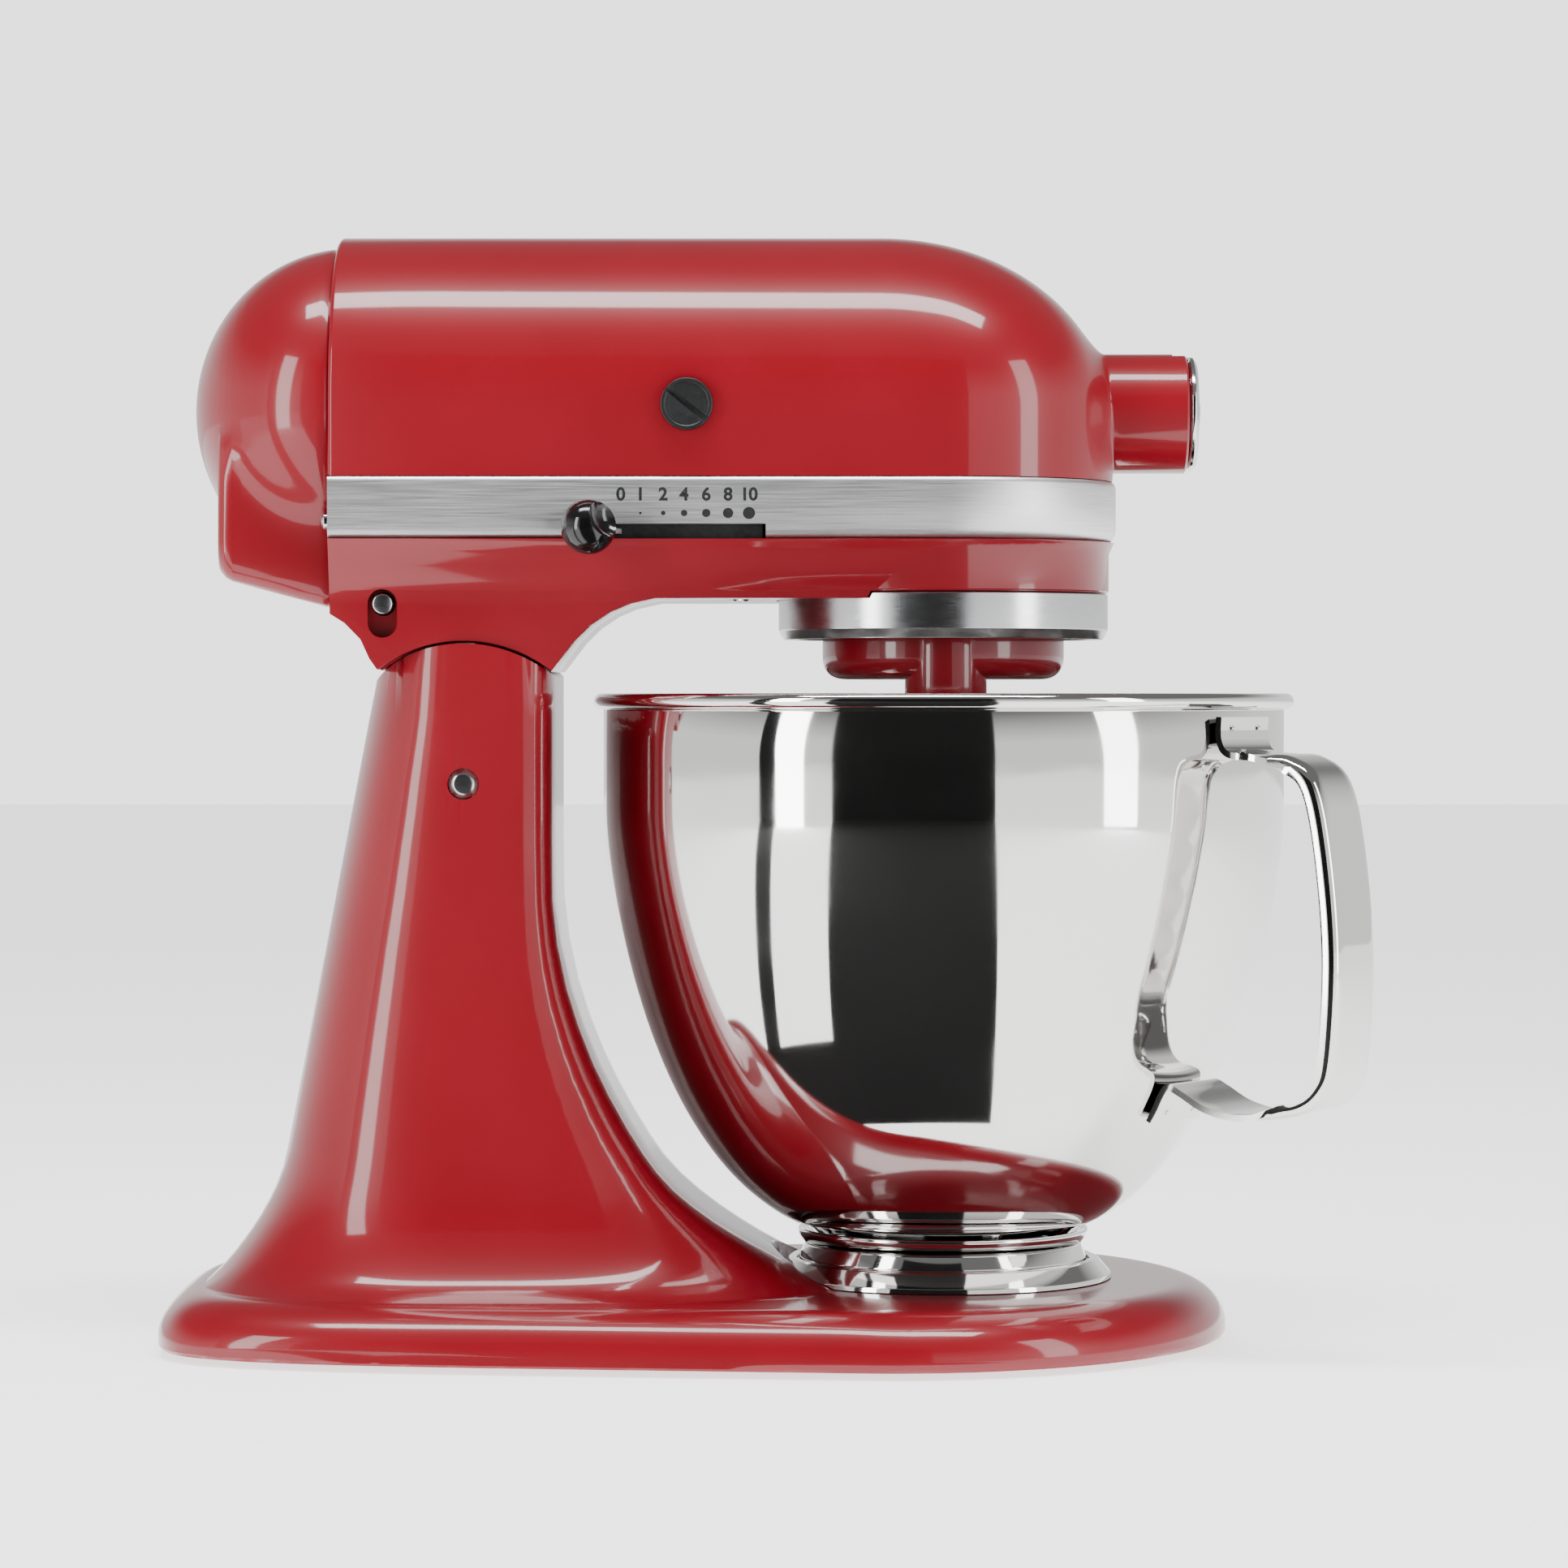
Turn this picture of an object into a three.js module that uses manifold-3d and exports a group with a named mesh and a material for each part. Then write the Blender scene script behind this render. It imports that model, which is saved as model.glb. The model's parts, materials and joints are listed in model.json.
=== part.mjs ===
// Tilt-head stand mixer with a footed bowl, built as separate solids.
// Millimetres, +Z up. The origin is on the bowl's axis at the standing surface,
// +X points to the attachment hub and -Y to the side with the speed lever.
import * as THREE from 'three';
import { mergeVertices } from 'three/addons/utils/BufferGeometryUtils.js';
import Module from 'manifold-3d';

const wasm = await Module();
wasm.setup();

// ---------------------------------------------------------------- sizes
const gap = 0.3; // air between pieces that seat on each other
const round = 28; // sides of a large circle
const small = 12; // sides of a small circle

// head
const motorZ = 297.3; // height of the motor and hub axis
const headHalf = 54.5; // half width of the head, and plan radius of its nose
const crownRise = 56.3; // crown above the motor axis
const noseBackX = -20; // where the crown starts to fall towards the nose
const noseReach = 73; // length of the falling crown
const shellWall = 4;
const seamX = -193.5; // joint between the head and its rear cover
const hubR = 19.2;
const hubFaceX = 78;
const hubBoreR = 16;

// heights below the motor axis
const bandTop = motorZ - 22.5;
const bandHeight = 19;
const bandBottom = bandTop - bandHeight;
const chamferDrop = 3.5; // bevel of the lower case under the trim band
const skirtZ = bandBottom - 16.4; // lower edge of the round skirt
const underZ = bandBottom - 18.7; // flat underside
const caseWall = 4.5;
const caseFloor = 7;

// tilt hinge
const pinX = -151.7;
const pinZ = underZ - 58.2;
const pinR = 4.2;
const lugR = 20;
const tongueHalf = 15;
const tongueFront = 57; // the tongue's two faces, as angles above +X round the pin
const tongueBack = 88;
const tiltRange = 48;
const columnArcR = 44;
const neckArcR = 46;
const neckHalf = headHalf - 7;

// stand
const baseHalf = 110; // half width of the base
const baseFront = 111; // from the widest line to the front
const baseBack = 228.6; // from the widest line to the rear
const baseWideX = -20;
const baseTaper = 0.1;
const deckZ = 19.3;
const baseEdgeZ = 5;
const deckRound = 16;
const footGap = 2.2;
const baseWall = 5;
const columnHalf = neckHalf + 1.5;
const columnFrontX = -123.5;
const columnBackX = -181.4;
const footR = 10;
const footPlaces = [[0, 0], [50, 50], [50, -50], [-222, 44], [-222, -44]];

// bowl
const bowlR = 109.4;
const bowlWall = 1.5;
const bowlTopZ = 203;
const bowlShoulderZ = 170; // the wall is straight above this height
const bowlDepth = 140; // from the shoulder down to where the curve would close
const bowlFloorZ = 36;
const rimBeadR = 2.4;
const bowlFootR = 46.2;
const clampR = 54.3;
const clampRise = 6.4;
const handleAngle = -35;
const handleWidth = 30;
const handleStrap = 2;
const handleReach = 150;

// drive
const ringTeeth = 36;
const planetTeeth = 10;
const ringModule = 2 * (headHalf - 16.25) / ringTeeth;
const beaterOffset = ringModule * (ringTeeth - planetTeeth) / 2;
const wormPitch = 5.4;
const wormR = 7.5;
const wheelTeeth = 15;
const wheelPitchR = wheelTeeth * wormPitch / (2 * Math.PI);
const wheelY = wheelPitchR + wormR - 0.9;
const pinionTeeth = 9;
const centerTeeth = 34;
const spurModule = 2.46;
const spurDistance = spurModule * (pinionTeeth + centerTeeth) / 2;
const wheelX = -Math.sqrt(spurDistance ** 2 - wheelY ** 2);
const bevelTeeth = 20;
const hubTeeth = 10;
const bevelR = 28;
const planetaryR = 38.9;
const planetaryBottom = skirtZ - 27.6;
const centerShaftR = 8;
const beaterShaftR = 6;
const motorShaftR = 4;
const brushX = -81.6;

// ---------------------------------------------------------------- solids
// A manifold solid from a closed three.js geometry, with its faces turned outwards.
function solidOf(geometry) {
  const bare = geometry.clone();
  for (const name of Object.keys(bare.attributes)) {
    if (name !== 'position') bare.deleteAttribute(name);
  }
  const merged = mergeVertices(bare, 1e-4);
  const points = merged.attributes.position;
  const triangles = [];
  const [a, b, c] = [new THREE.Vector3(), new THREE.Vector3(), new THREE.Vector3()];
  let volume = 0;
  for (let i = 0; i < merged.index.count; i += 3) {
    const [p, q, r] = [0, 1, 2].map((k) => merged.index.getX(i + k));
    if (p === q || q === r || r === p) continue;
    triangles.push(p, q, r);
    a.fromBufferAttribute(points, p);
    b.fromBufferAttribute(points, q);
    c.fromBufferAttribute(points, r);
    volume += a.dot(b.cross(c));
  }
  if (volume < 0) triangles.reverse();
  return new wasm.Manifold(new wasm.Mesh({
    numProp: 3,
    vertProperties: Float32Array.from(points.array),
    triVerts: Uint32Array.from(triangles),
  }));
}

function geometryOf(solid) {
  const { numProp, vertProperties, triVerts } = solid.getMesh();
  const points = [];
  for (let i = 0; i < vertProperties.length; i += numProp) {
    points.push(vertProperties[i], vertProperties[i + 1], vertProperties[i + 2]);
  }
  const geometry = new THREE.BufferGeometry();
  geometry.setAttribute('position', new THREE.Float32BufferAttribute(points, 3));
  geometry.setIndex([...triVerts]);
  geometry.computeVertexNormals();
  return geometry;
}

const join = (...solids) => solids.reduce((sum, next) => sum.add(next));
const cut = (body, ...tools) => tools.reduce((rest, tool) => rest.subtract(tool), body);

function block(x0, x1, y0, y1, z0, z1) {
  const geometry = new THREE.BoxGeometry(x1 - x0, y1 - y0, z1 - z0);
  return solidOf(geometry.translate((x0 + x1) / 2, (y0 + y1) / 2, (z0 + z1) / 2));
}

// A cylinder along an axis from one place to another; u and v place it across.
function rod(axis, radius, from, to, u = 0, v = 0, sides = small) {
  const geometry = new THREE.CylinderGeometry(radius, radius, to - from, sides);
  const middle = (from + to) / 2;
  if (axis === 'x') geometry.rotateZ(Math.PI / 2).translate(middle, u, v);
  if (axis === 'y') geometry.translate(u, middle, v);
  if (axis === 'z') geometry.rotateX(Math.PI / 2).translate(u, v, middle);
  return solidOf(geometry);
}

function tube(axis, outer, inner, from, to, u = 0, v = 0, sides = small) {
  return cut(rod(axis, outer, from, to, u, v, sides), rod(axis, inner, from - 1, to + 1, u, v, sides));
}

// A profile of [radius, height] pairs turned about a vertical line.
function turned(profile, x = 0, y = 0, sides = round) {
  const points = profile.map(([r, z]) => new THREE.Vector2(r, z));
  const [first, last] = [points[0], points[points.length - 1]];
  if (first.x > 0 || last.x > 0) points.push(first.clone());
  return solidOf(new THREE.LatheGeometry(points, sides).rotateX(Math.PI / 2).translate(x, y, 0));
}

// An outline of [x, y] pairs made solid between two heights.
function slab(outline, z0, z1) {
  const shape = new THREE.Shape(outline.map(([x, y]) => new THREE.Vector2(x, y)));
  const settings = { depth: z1 - z0, bevelEnabled: false };
  return solidOf(new THREE.ExtrudeGeometry(shape, settings).translate(0, 0, z0));
}

// An outline of [x, z] pairs made solid between two places along Y.
function sideSlab(outline, y0, y1) {
  const shape = new THREE.Shape(outline.map(([x, z]) => new THREE.Vector2(x, z)));
  const settings = { depth: y1 - y0, bevelEnabled: false };
  return solidOf(new THREE.ExtrudeGeometry(shape, settings).rotateX(Math.PI / 2).translate(0, y1, 0));
}

// A skin over rings of equal point count, closed by a fan at each end.
function loft(rings) {
  const sides = rings[0].length;
  const points = rings.flat();
  const triangles = [];
  for (let k = 0; k + 1 < rings.length; k += 1) {
    for (let i = 0; i < sides; i += 1) {
      const here = k * sides + i;
      const next = k * sides + (i + 1) % sides;
      triangles.push(here, next, next + sides, here, next + sides, here + sides);
    }
  }
  for (const [ring, start] of [[rings[0], 0], [rings[rings.length - 1], points.length - sides]]) {
    const middle = points.length;
    const sum = ring.reduce((total, p) => total.add(p), new THREE.Vector3());
    points.push(sum.divideScalar(sides));
    for (let i = 0; i < sides; i += 1) {
      const pair = [start + i, start + (i + 1) % sides];
      triangles.push(middle, ...(start === 0 ? pair.reverse() : pair));
    }
  }
  const geometry = new THREE.BufferGeometry().setFromPoints(points);
  geometry.setIndex(triangles);
  return solidOf(geometry);
}

const steps = (from, to, count) =>
  Array.from({ length: count + 1 }, (_, i) => from + (to - from) * i / count);
const degrees = (angle) => angle * Math.PI / 180;
const arc = (x, z, radius, from, to, count) =>
  steps(from, to, count).map((a) => [x + radius * Math.cos(degrees(a)), z + radius * Math.sin(degrees(a))]);

// Moves a solid: turned about Z by an angle, then shifted.
function placed(solid, angle, x = 0, y = 0, z = 0) {
  return solid.rotate([0, 0, angle]).translate([x, y, z]);
}

// ---------------------------------------------------------------- assembly
const mixer = new THREE.Group();
const finishes = {
  red: ['#a01a1f', 0.18, 0],
  steel: ['#c9cbcc', 0.25, 1],
  polished: ['#d9dadb', 0.12, 1],
  satin: ['#b8babb', 0.45, 1],
  black: ['#121214', 0.3, 0],
  rubber: ['#1b1b1c', 0.8, 0],
  iron: ['#77797c', 0.5, 1],
  copper: ['#b0693a', 0.4, 1],
  brass: ['#b9a15c', 0.4, 1],
  carbon: ['#26262a', 0.7, 0],
  board: ['#2f5a3c', 0.6, 0],
  enamel: ['#e8e8e6', 0.4, 0],
};

function add(name, finish, solid) {
  const [color, roughness, metalness] = finishes[finish];
  const mesh = new THREE.Mesh(geometryOf(solid), new THREE.MeshStandardMaterial({ color, roughness, metalness }));
  mesh.name = name;
  mixer.add(mesh);
}

// ---------------------------------------------------------------- stand
// Plan of the base: a round front and a squarer, slightly tapered rear.
function basePlan(z, inset) {
  return steps(0, 2 * Math.PI, 36).slice(0, -1).map((a) => {
    const power = Math.cos(a) >= 0 ? 1 : 1 / 3;
    const along = Math.abs(Math.cos(a)) ** power;
    const across = Math.sign(Math.sin(a)) * Math.abs(Math.sin(a)) ** power;
    const reach = Math.cos(a) >= 0 ? baseFront - inset : -(baseBack - inset);
    const taper = Math.min(0, reach * along) * baseTaper;
    return new THREE.Vector3(baseWideX + reach * along, (baseHalf - inset + taper) * across, z);
  });
}

// How far below the tilt hinge a height lies, as a share of the column's height.
const columnTopZ = pinZ + columnArcR - 8;
const bellyZ = 150; // the column's front is upright above this
const flareZ = 60; // the column's front and back spread below this
const sideFlareZ = 50; // and its sides below this
const under = (z, level) => Math.max(0, level - z);

function columnRing(z, inset, shapeZ = z) {
  const flare = under(shapeZ, flareZ);
  const front = columnFrontX + 0.00373 * under(shapeZ, bellyZ) ** 2 + 0.016 * flare ** 2 - inset;
  const back = columnBackX - 0.193 * (columnTopZ - shapeZ) - 0.0175 * flare ** 1.85 + inset;
  const half = columnHalf + 0.0008 * under(shapeZ, bellyZ) ** 2 + 0.012 * under(shapeZ, sideFlareZ) ** 2 - inset;
  const middle = front - 0.3 * (front - back);
  return steps(0, 2 * Math.PI, 24).slice(0, -1).map((a) => {
    const power = Math.cos(a) >= 0 ? 2 / 5 : 2 / 2.4;
    const along = Math.abs(Math.cos(a)) ** power;
    const across = Math.sign(Math.sin(a)) * Math.abs(Math.sin(a)) ** power;
    const reach = Math.cos(a) >= 0 ? front - middle : back - middle;
    return new THREE.Vector3(middle + reach * along, half * across, z);
  });
}

function basePedestal() {
  const roundOver = steps(0, 90, 3).map((a) => {
    const inset = deckRound * (1 - Math.cos(degrees(a)));
    return basePlan(baseEdgeZ + (deckZ - baseEdgeZ) * Math.sin(degrees(a)), inset);
  });
  const plate = loft([basePlan(footGap, 1), basePlan(footGap + 1.2, 0), ...roundOver]);
  const heights = [baseEdgeZ + 6, 17, 22, 28, 36, 48, 66, 90, 120, bellyZ, columnTopZ + 12];
  const column = loft(heights.map((z) => columnRing(z, 0, Math.max(z, deckZ - 2))));
  const arcCap = join(
    rod('y', columnArcR, -baseHalf, baseHalf, pinX, pinZ, 48),
    block(-300, 100, -baseHalf, baseHalf, -10, pinZ + 22),
  );
  const plateHollow = loft([basePlan(-1, baseWall), basePlan(deckZ - baseWall, baseWall + 8)]);
  const hollowLevels = [[deckZ - baseWall - 1, 36, 8], [36, 36, 8], [60, 60, 7], [100, 100, 6.5], [bellyZ, bellyZ, 6]];
  const columnHollow = loft(hollowLevels.map(([z, shapeZ, inset]) => columnRing(z, inset, shapeZ)));
  const hollow = join(plateHollow, columnHollow);
  const clampRecess = rod('z', clampR + 1.2, deckZ, deckZ + 40, 0, 0, round);
  const bosses = footPlaces.map(([x, y]) => rod('z', footR + 2, footGap + gap, deckZ - 3, x, y));
  const stemHoles = footPlaces.map(([x, y]) => rod('z', 3.5 + gap, 0, 10, x, y));
  const slotSector = sideSlab(
    [[pinX, pinZ], ...arc(pinX, pinZ, columnArcR + 12, tongueFront - 3, tongueBack + tiltRange + 3, 6)],
    -tongueHalf - 0.5, tongueHalf + 0.5,
  );
  return cut(
    join(plate, column.intersect(arcCap).subtract(clampRecess)).subtract(hollow).add(join(...bosses)),
    slotSector,
    rod('y', lugR + 0.8, -tongueHalf - 0.5, tongueHalf + 0.5, pinX, pinZ, 24),
    rod('y', pinR + gap, -baseHalf, baseHalf, pinX, pinZ),
    lockChannel(),
    ...stemHoles,
    ...clampScrewPlaces.map(([x, y]) => rod('z', 2.3 + gap, 8, deckZ + 2, x, y, 12)),
  );
}

const clampScrewR = 30;
const clampScrewPlaces = [30, 150, 270].map((a) =>
  [clampScrewR * Math.cos(degrees(a)), clampScrewR * Math.sin(degrees(a))]);

// head lock: a cross shaft in the neck with a cam that drops behind the column's crown
const lockX = -177;
const lockZ = pinZ + 56.4;
const lockShaftR = 3.3;
const camReach = 25;
const camHalf = 4;
const camY = 26;
const camRest = 75; // degrees forward of straight down when the lock is open

function camShape(turn, grow) {
  const reach = camReach + grow;
  const half = camHalf + grow;
  const turnBy = degrees(turn);
  const outline = [[-half, half], [half, half], [half, -reach], [-half, -reach]];
  return outline.map(([x, z]) => [
    lockX + x * Math.cos(turnBy) - z * Math.sin(turnBy),
    lockZ + x * Math.sin(turnBy) + z * Math.cos(turnBy),
  ]);
}

// the space that the cam sweeps, in the neck and in the crown of the column
function lockChannel() {
  const sweep = steps(0, camRest, 5).map((turn) => sideSlab(camShape(turn, 0.8), camY - camHalf - 0.5, camY + camHalf + 0.5));
  return join(...sweep);
}

add('base_pedestal', 'red', basePedestal());
footPlaces.forEach(([x, y], i) => {
  const foot = turned([[0, 0], [footR - 1, 0], [footR, 0.8], [footR, footGap], [3.5, footGap], [3.5, 9], [0, 9]], x, y, small);
  add(`foot_${i + 1}`, 'rubber', foot);
});
add('hinge_pin', 'steel', rod('y', pinR, -columnHalf + 0.4, columnHalf - 0.4, pinX, pinZ));

// Bowl clamp plate: a shallow dish with an inward lip, open in three places for the lugs of the bowl's foot.
const lugAngles = [90, 210, 330];
const lugSpan = 22;
const lipSpan = 42;
const plateFloor = 2;
const lipZ = deckZ + gap + clampRise - 1.6;
const lipR = bowlFootR + 0.9;
const sector = (from, to, radius, z0, z1) => slab([[0, 0], ...arc(0, 0, radius, from, to, 6)], z0, z1);

function clampPlate() {
  const bottom = deckZ + gap;
  const dish = turned([
    [0, bottom], [clampR, bottom], [clampR - 0.4, bottom + 1.6], [clampR - 4.4, bottom + clampRise],
    [lipR, bottom + clampRise], [lipR, lipZ], [lipR + 1.3, lipZ], [lipR + 1.3, bottom + plateFloor], [0, bottom + plateFloor],
  ]);
  const notches = lugAngles.map((a) =>
    sector(a + 25 - lugSpan / 2 - 3, a + 25 + lugSpan / 2 + 3, lipR + 1.3, lipZ - 0.5, lipZ + 3)
      .subtract(rod('z', lipR - 0.5, lipZ - 2, lipZ + 4, 0, 0, round)));
  return cut(dish, ...notches, ...clampScrewPlaces.map(([x, y]) => rod('z', 2.3 + gap, 0, lipZ, x, y, 12)));
}

add('bowl_clamp_plate', 'polished', clampPlate());
clampScrewPlaces.forEach(([x, y], i) => {
  const seat = deckZ + gap + plateFloor + gap;
  const screw = turned([[0, 10], [2.3, 10], [2.3, seat], [4.4, seat], [4.4, seat + 1], [3, seat + 2], [0, seat + 2]], x, y, 12);
  add(`clamp_screw_${i + 1}`, 'iron', screw);
});

// ---------------------------------------------------------------- bowl
const bowlRadius = (z) =>
  bowlR * (1 - (Math.max(0, bowlShoulderZ - z) / bowlDepth) ** 1.6) ** 0.33;

function bowl() {
  const rimZ = bowlTopZ + rimBeadR - 0.5;
  const rimR = bowlR + 0.7;
  const wallLevels = [36.6, 41, 52, 70, 98, 134, bowlShoulderZ, bowlTopZ - 3];
  const outside = wallLevels.map((z) => [bowlRadius(z), z]);
  const inside = wallLevels.slice(1).map((z) => [bowlRadius(z) - bowlWall, z + 0.6]).reverse();
  return turned([
    [0, bowlFloorZ], [44, bowlFloorZ], ...outside, ...arc(rimR, rimZ, rimBeadR, -70, 200, 5),
    ...inside, [44, bowlFloorZ + bowlWall], [0, bowlFloorZ + bowlWall],
  ]);
}

function bowlFoot() {
  const top = bowlFloorZ - gap;
  const bottom = deckZ + gap + plateFloor + 0.5;
  const wall = 1.5;
  const ring = turned([
    [bowlFootR - 5, top], [bowlFootR - 0.6, top], [bowlFootR, top - 2], [bowlFootR - 0.6, bottom],
    [bowlFootR - 0.6 - wall, bottom], [bowlFootR - wall, top - 2.6], [bowlFootR - 5, top - wall],
  ]);
  const lug = (a) => sector(a - lugSpan / 2, a + lugSpan / 2, lipR + 0.8, bottom + 0.4, lipZ - gap)
    .subtract(rod('z', bowlFootR - 1.6, 0, lipZ + 2, 0, 0, round));
  return join(ring, ...lugAngles.map(lug));
}

// Strap handle: a bent strip in the plane x = distance from the bowl's axis, welded by its two tabs.
function bowlHandle() {
  const wall = bowlR + gap + handleStrap / 2;
  const tab = (z) => [bowlRadius(z) + gap + handleStrap / 2 + 0.2, z];
  const spine = new THREE.CatmullRomCurve3([
    [wall, 200], [wall, 193], [wall + 3, 188.6], [wall + 12, 187.6], [handleReach - 17, 187], [handleReach - 8, 180],
    [handleReach - 3, 160], [handleReach, 128], [handleReach - 1.5, 96], [handleReach - 5, 85], [handleReach - 14, 79],
    [118, 76.8], [106, 78.8], [97, 83.4], [92.6, 85.2], tab(82.5), tab(78.5), tab(74),
  ].map(([x, z]) => new THREE.Vector3(x, 0, z)), false, 'centripetal').getPoints(24);
  const side = (sign) => spine.map((p, i) => {
    const ahead = spine[Math.min(i + 1, spine.length - 1)];
    const behind = spine[Math.max(i - 1, 0)];
    const along = ahead.clone().sub(behind).normalize().multiplyScalar(sign * handleStrap / 2);
    return [p.x - along.z, p.z + along.x];
  });
  return sideSlab([...side(1), ...side(-1).reverse()], -handleWidth / 2, handleWidth / 2)
    .rotate([0, 0, handleAngle]);
}

const bowlBody = bowl();
const clearOfBowl = turned([
  [0, bowlFloorZ - gap], ...steps(38, 198, 20).map((z) => [bowlRadius(z) + gap, z]), [0, 198],
]);
add('bowl', 'polished', bowlBody);
add('bowl_foot', 'polished', bowlFoot());
add('bowl_handle', 'polished', cut(bowlHandle(), clearOfBowl));

// ---------------------------------------------------------------- head
// One cross-section of the upper shell: open-bottomed sides under a round crown.
function shellRing(x, inset, floorZ) {
  const nose = Math.max(0, x);
  const fall = Math.max(0, x - noseBackX) / (noseReach - inset);
  const half = Math.sqrt(Math.max(0.01, (headHalf - inset) ** 2 - nose ** 2));
  const rise = (crownRise - inset) * Math.sqrt(Math.max(0.0001, 1 - fall ** 2));
  const crown = steps(180, 0, 14).map((a) =>
    new THREE.Vector3(x, half * Math.cos(degrees(a)), motorZ + rise * Math.sin(degrees(a))));
  return [new THREE.Vector3(x, -half, floorZ), ...crown, new THREE.Vector3(x, half, floorZ)];
}

function shellForm(inset, backX, floorZ) {
  const tip = noseBackX + noseReach - inset;
  const nose = steps(0, 83, 7).map((a) => noseBackX + (tip - noseBackX) * Math.sin(degrees(a)));
  return loft([backX, ...nose].map((x) => shellRing(Math.min(x, headHalf - inset - 0.3), inset, floorZ)));
}

function headShell() {
  const hub = rod('x', hubR, noseBackX + 60, hubFaceX, 0, motorZ, 28).intersect(block(0, 100, -60, 60, bandTop + gap, 400));
  const outside = join(shellForm(0, seamX, bandTop + gap), hub);
  const inside = shellForm(shellWall, seamX + shellWall, bandTop - 10);
  const rearOpening = join(
    rod('x', headHalf - 7, seamX - 1, seamX + 6, 0, motorZ, 28),
    block(seamX - 1, seamX + 6, -headHalf + 9, headHalf - 9, bandTop - 10, motorZ),
  );
  return cut(
    outside, inside, rearOpening,
    rod('x', hubBoreR, noseBackX + 50, hubFaceX + 1, 0, motorZ, 24),
    rod('y', 6.3, -headHalf - 5, headHalf + 5, brushX, motorZ),
    rod('y', 3.3, hubBoreR - 4, headHalf, attachmentX, motorZ, 12),
    block(hubFaceX - 4.6, hubFaceX + 1, -5.6, 5.6, motorZ + 14.6, motorZ + hubR + 1),
    rod('y', 1.1, -8, 8, capPinX, motorZ + capPinRise, 10),
  );
}

// plan of the lower head: straight sides with a half-round nose
function headPlan(z, half, backX = seamX) {
  const nose = arc(0, 0, half, -90, 90, 14).map(([x, y]) => new THREE.Vector3(x, y, z));
  return [new THREE.Vector3(backX, -half, z), ...nose, new THREE.Vector3(backX, half, z)];
}

const bandHalf = headHalf + 1;
const bandThickness = 3.6;
const upstandHalf = bandHalf - bandThickness - gap;
const leverX = -87;
const slotFrontX = leverX + 0.55 * headHalf; // the lever swings between the slot's ends
const slotBackX = leverX - 0.532 * headHalf;
const slotTop = bandBottom + 4.3;
const ringOuterR = headHalf - 6.8;

function gearcase() {
  const levels = [
    [0, headHalf + 0.5], [chamferDrop, headHalf - 1.5], [8.5, headHalf - 3], [13, headHalf - 4.9], [16, headHalf - 6.2], [20, neckHalf],
  ];
  const sides = loft([...levels.map(([drop, half]) => headPlan(bandBottom - gap - drop, half)), headPlan(pinZ, neckHalf)]);
  const profile = sideSlab([
    [seamX, bandBottom], [seamX, underZ - 4.3], [seamX + 4.6, underZ - 7.8], [seamX + 9.6, underZ - 12.9], [seamX + 12.4, underZ - 19],
    ...arc(pinX, pinZ, neckArcR, 127, 52, 14),
    [-116.8, underZ - 13.3], [-111.7, underZ - 8.3], [-105.7, underZ - 4.3], [-99.7, underZ - 1.8], [-91.7, underZ],
    [headHalf + 3, underZ], [headHalf + 3, bandBottom],
  ], -headHalf - 5, headHalf + 5);
  const skirt = turned([
    [0, skirtZ], [headHalf - 2, skirtZ], [headHalf - 1.2, skirtZ + 0.8], [headHalf - 1.2, bandBottom - gap - chamferDrop],
    [headHalf + 0.5, bandBottom - gap], [0, bandBottom - gap],
  ]);
  const upstand = loft([headPlan(bandBottom - 3, upstandHalf), headPlan(bandTop - gap / 3, upstandHalf)]);
  const tongue = join(
    rod('y', lugR, -tongueHalf, tongueHalf, pinX, pinZ, 24),
    sideSlab([[pinX, pinZ], ...arc(pinX, pinZ, neckArcR + 5, tongueFront, tongueBack, 4)], -tongueHalf, tongueHalf),
  );
  const insideHalf = upstandHalf - caseWall;
  const hollow = join(
    loft([headPlan(skirtZ + caseFloor, insideHalf, seamX + 6), headPlan(bandTop + 5, insideHalf, seamX + 6)]),
    loft([headPlan(underZ + 5, insideHalf - 6, seamX + 8), headPlan(skirtZ + 8, insideHalf - 4, seamX + 8)])
      .intersect(block(seamX, -headHalf - 2, -headHalf, headHalf, 0, motorZ)),
    block(seamX + 14, pinX + 22, -neckHalf + 9, 16, pinZ + neckArcR + 7, bandBottom),
  );
  const centerBoss = tube('z', 15, 10.9, skirtZ + 1, skirtZ + caseFloor + 4, 0, 0, 18);
  const leverPost = rod('z', 3, underZ + 4, bandBottom + 6, leverX, 0, 16);
  const pinionBoss = rod('z', 9, underZ + 4, underZ + 15, wheelX, wheelY);
  const form = join(sides.intersect(profile).subtract(rod('z', headHalf - 0.3, 0, skirtZ, 0, 0, round)), skirt, upstand);
  return cut(
    join(form.subtract(hollow), tongue, centerBoss, pinionBoss, leverPost),
    rod('z', 10.9, skirtZ - 5, skirtZ + 20, 0, 0, 18),
    rod('z', motorShaftR + gap, underZ + 6, underZ + 30, wheelX, wheelY, 16),
    rod('y', pinR + gap, -tongueHalf - 1, tongueHalf + 1, pinX, pinZ),
    block(slotBackX - 2, slotFrontX + 2, -headHalf - 2, -insideHalf + 4, bandBottom - gap, slotTop + 1),
    block(slotBackX - 2, slotFrontX + 2, -insideHalf - 1, -insideHalf + 4, bandBottom - gap, slotTop + 1),
    lockChannel(),
    rod('y', lockShaftR + gap, -headHalf, headHalf, lockX, lockZ, 16),
    lockPocket(),
    rod('x', 2.3, seamX - 1, seamX + 9, 0, coverScrewZ, 12),
    rod('x', 1.8, seamX - 1, seamX + 9, trimScrewY, trimScrewZ, 12),
    rod('z', 4.4, underZ - 1, underZ + 2.2, -65, -22, 16),
    rod('z', 2.3, underZ - 1, underZ + 8, -65, -22, 12),
  );
}

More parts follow.
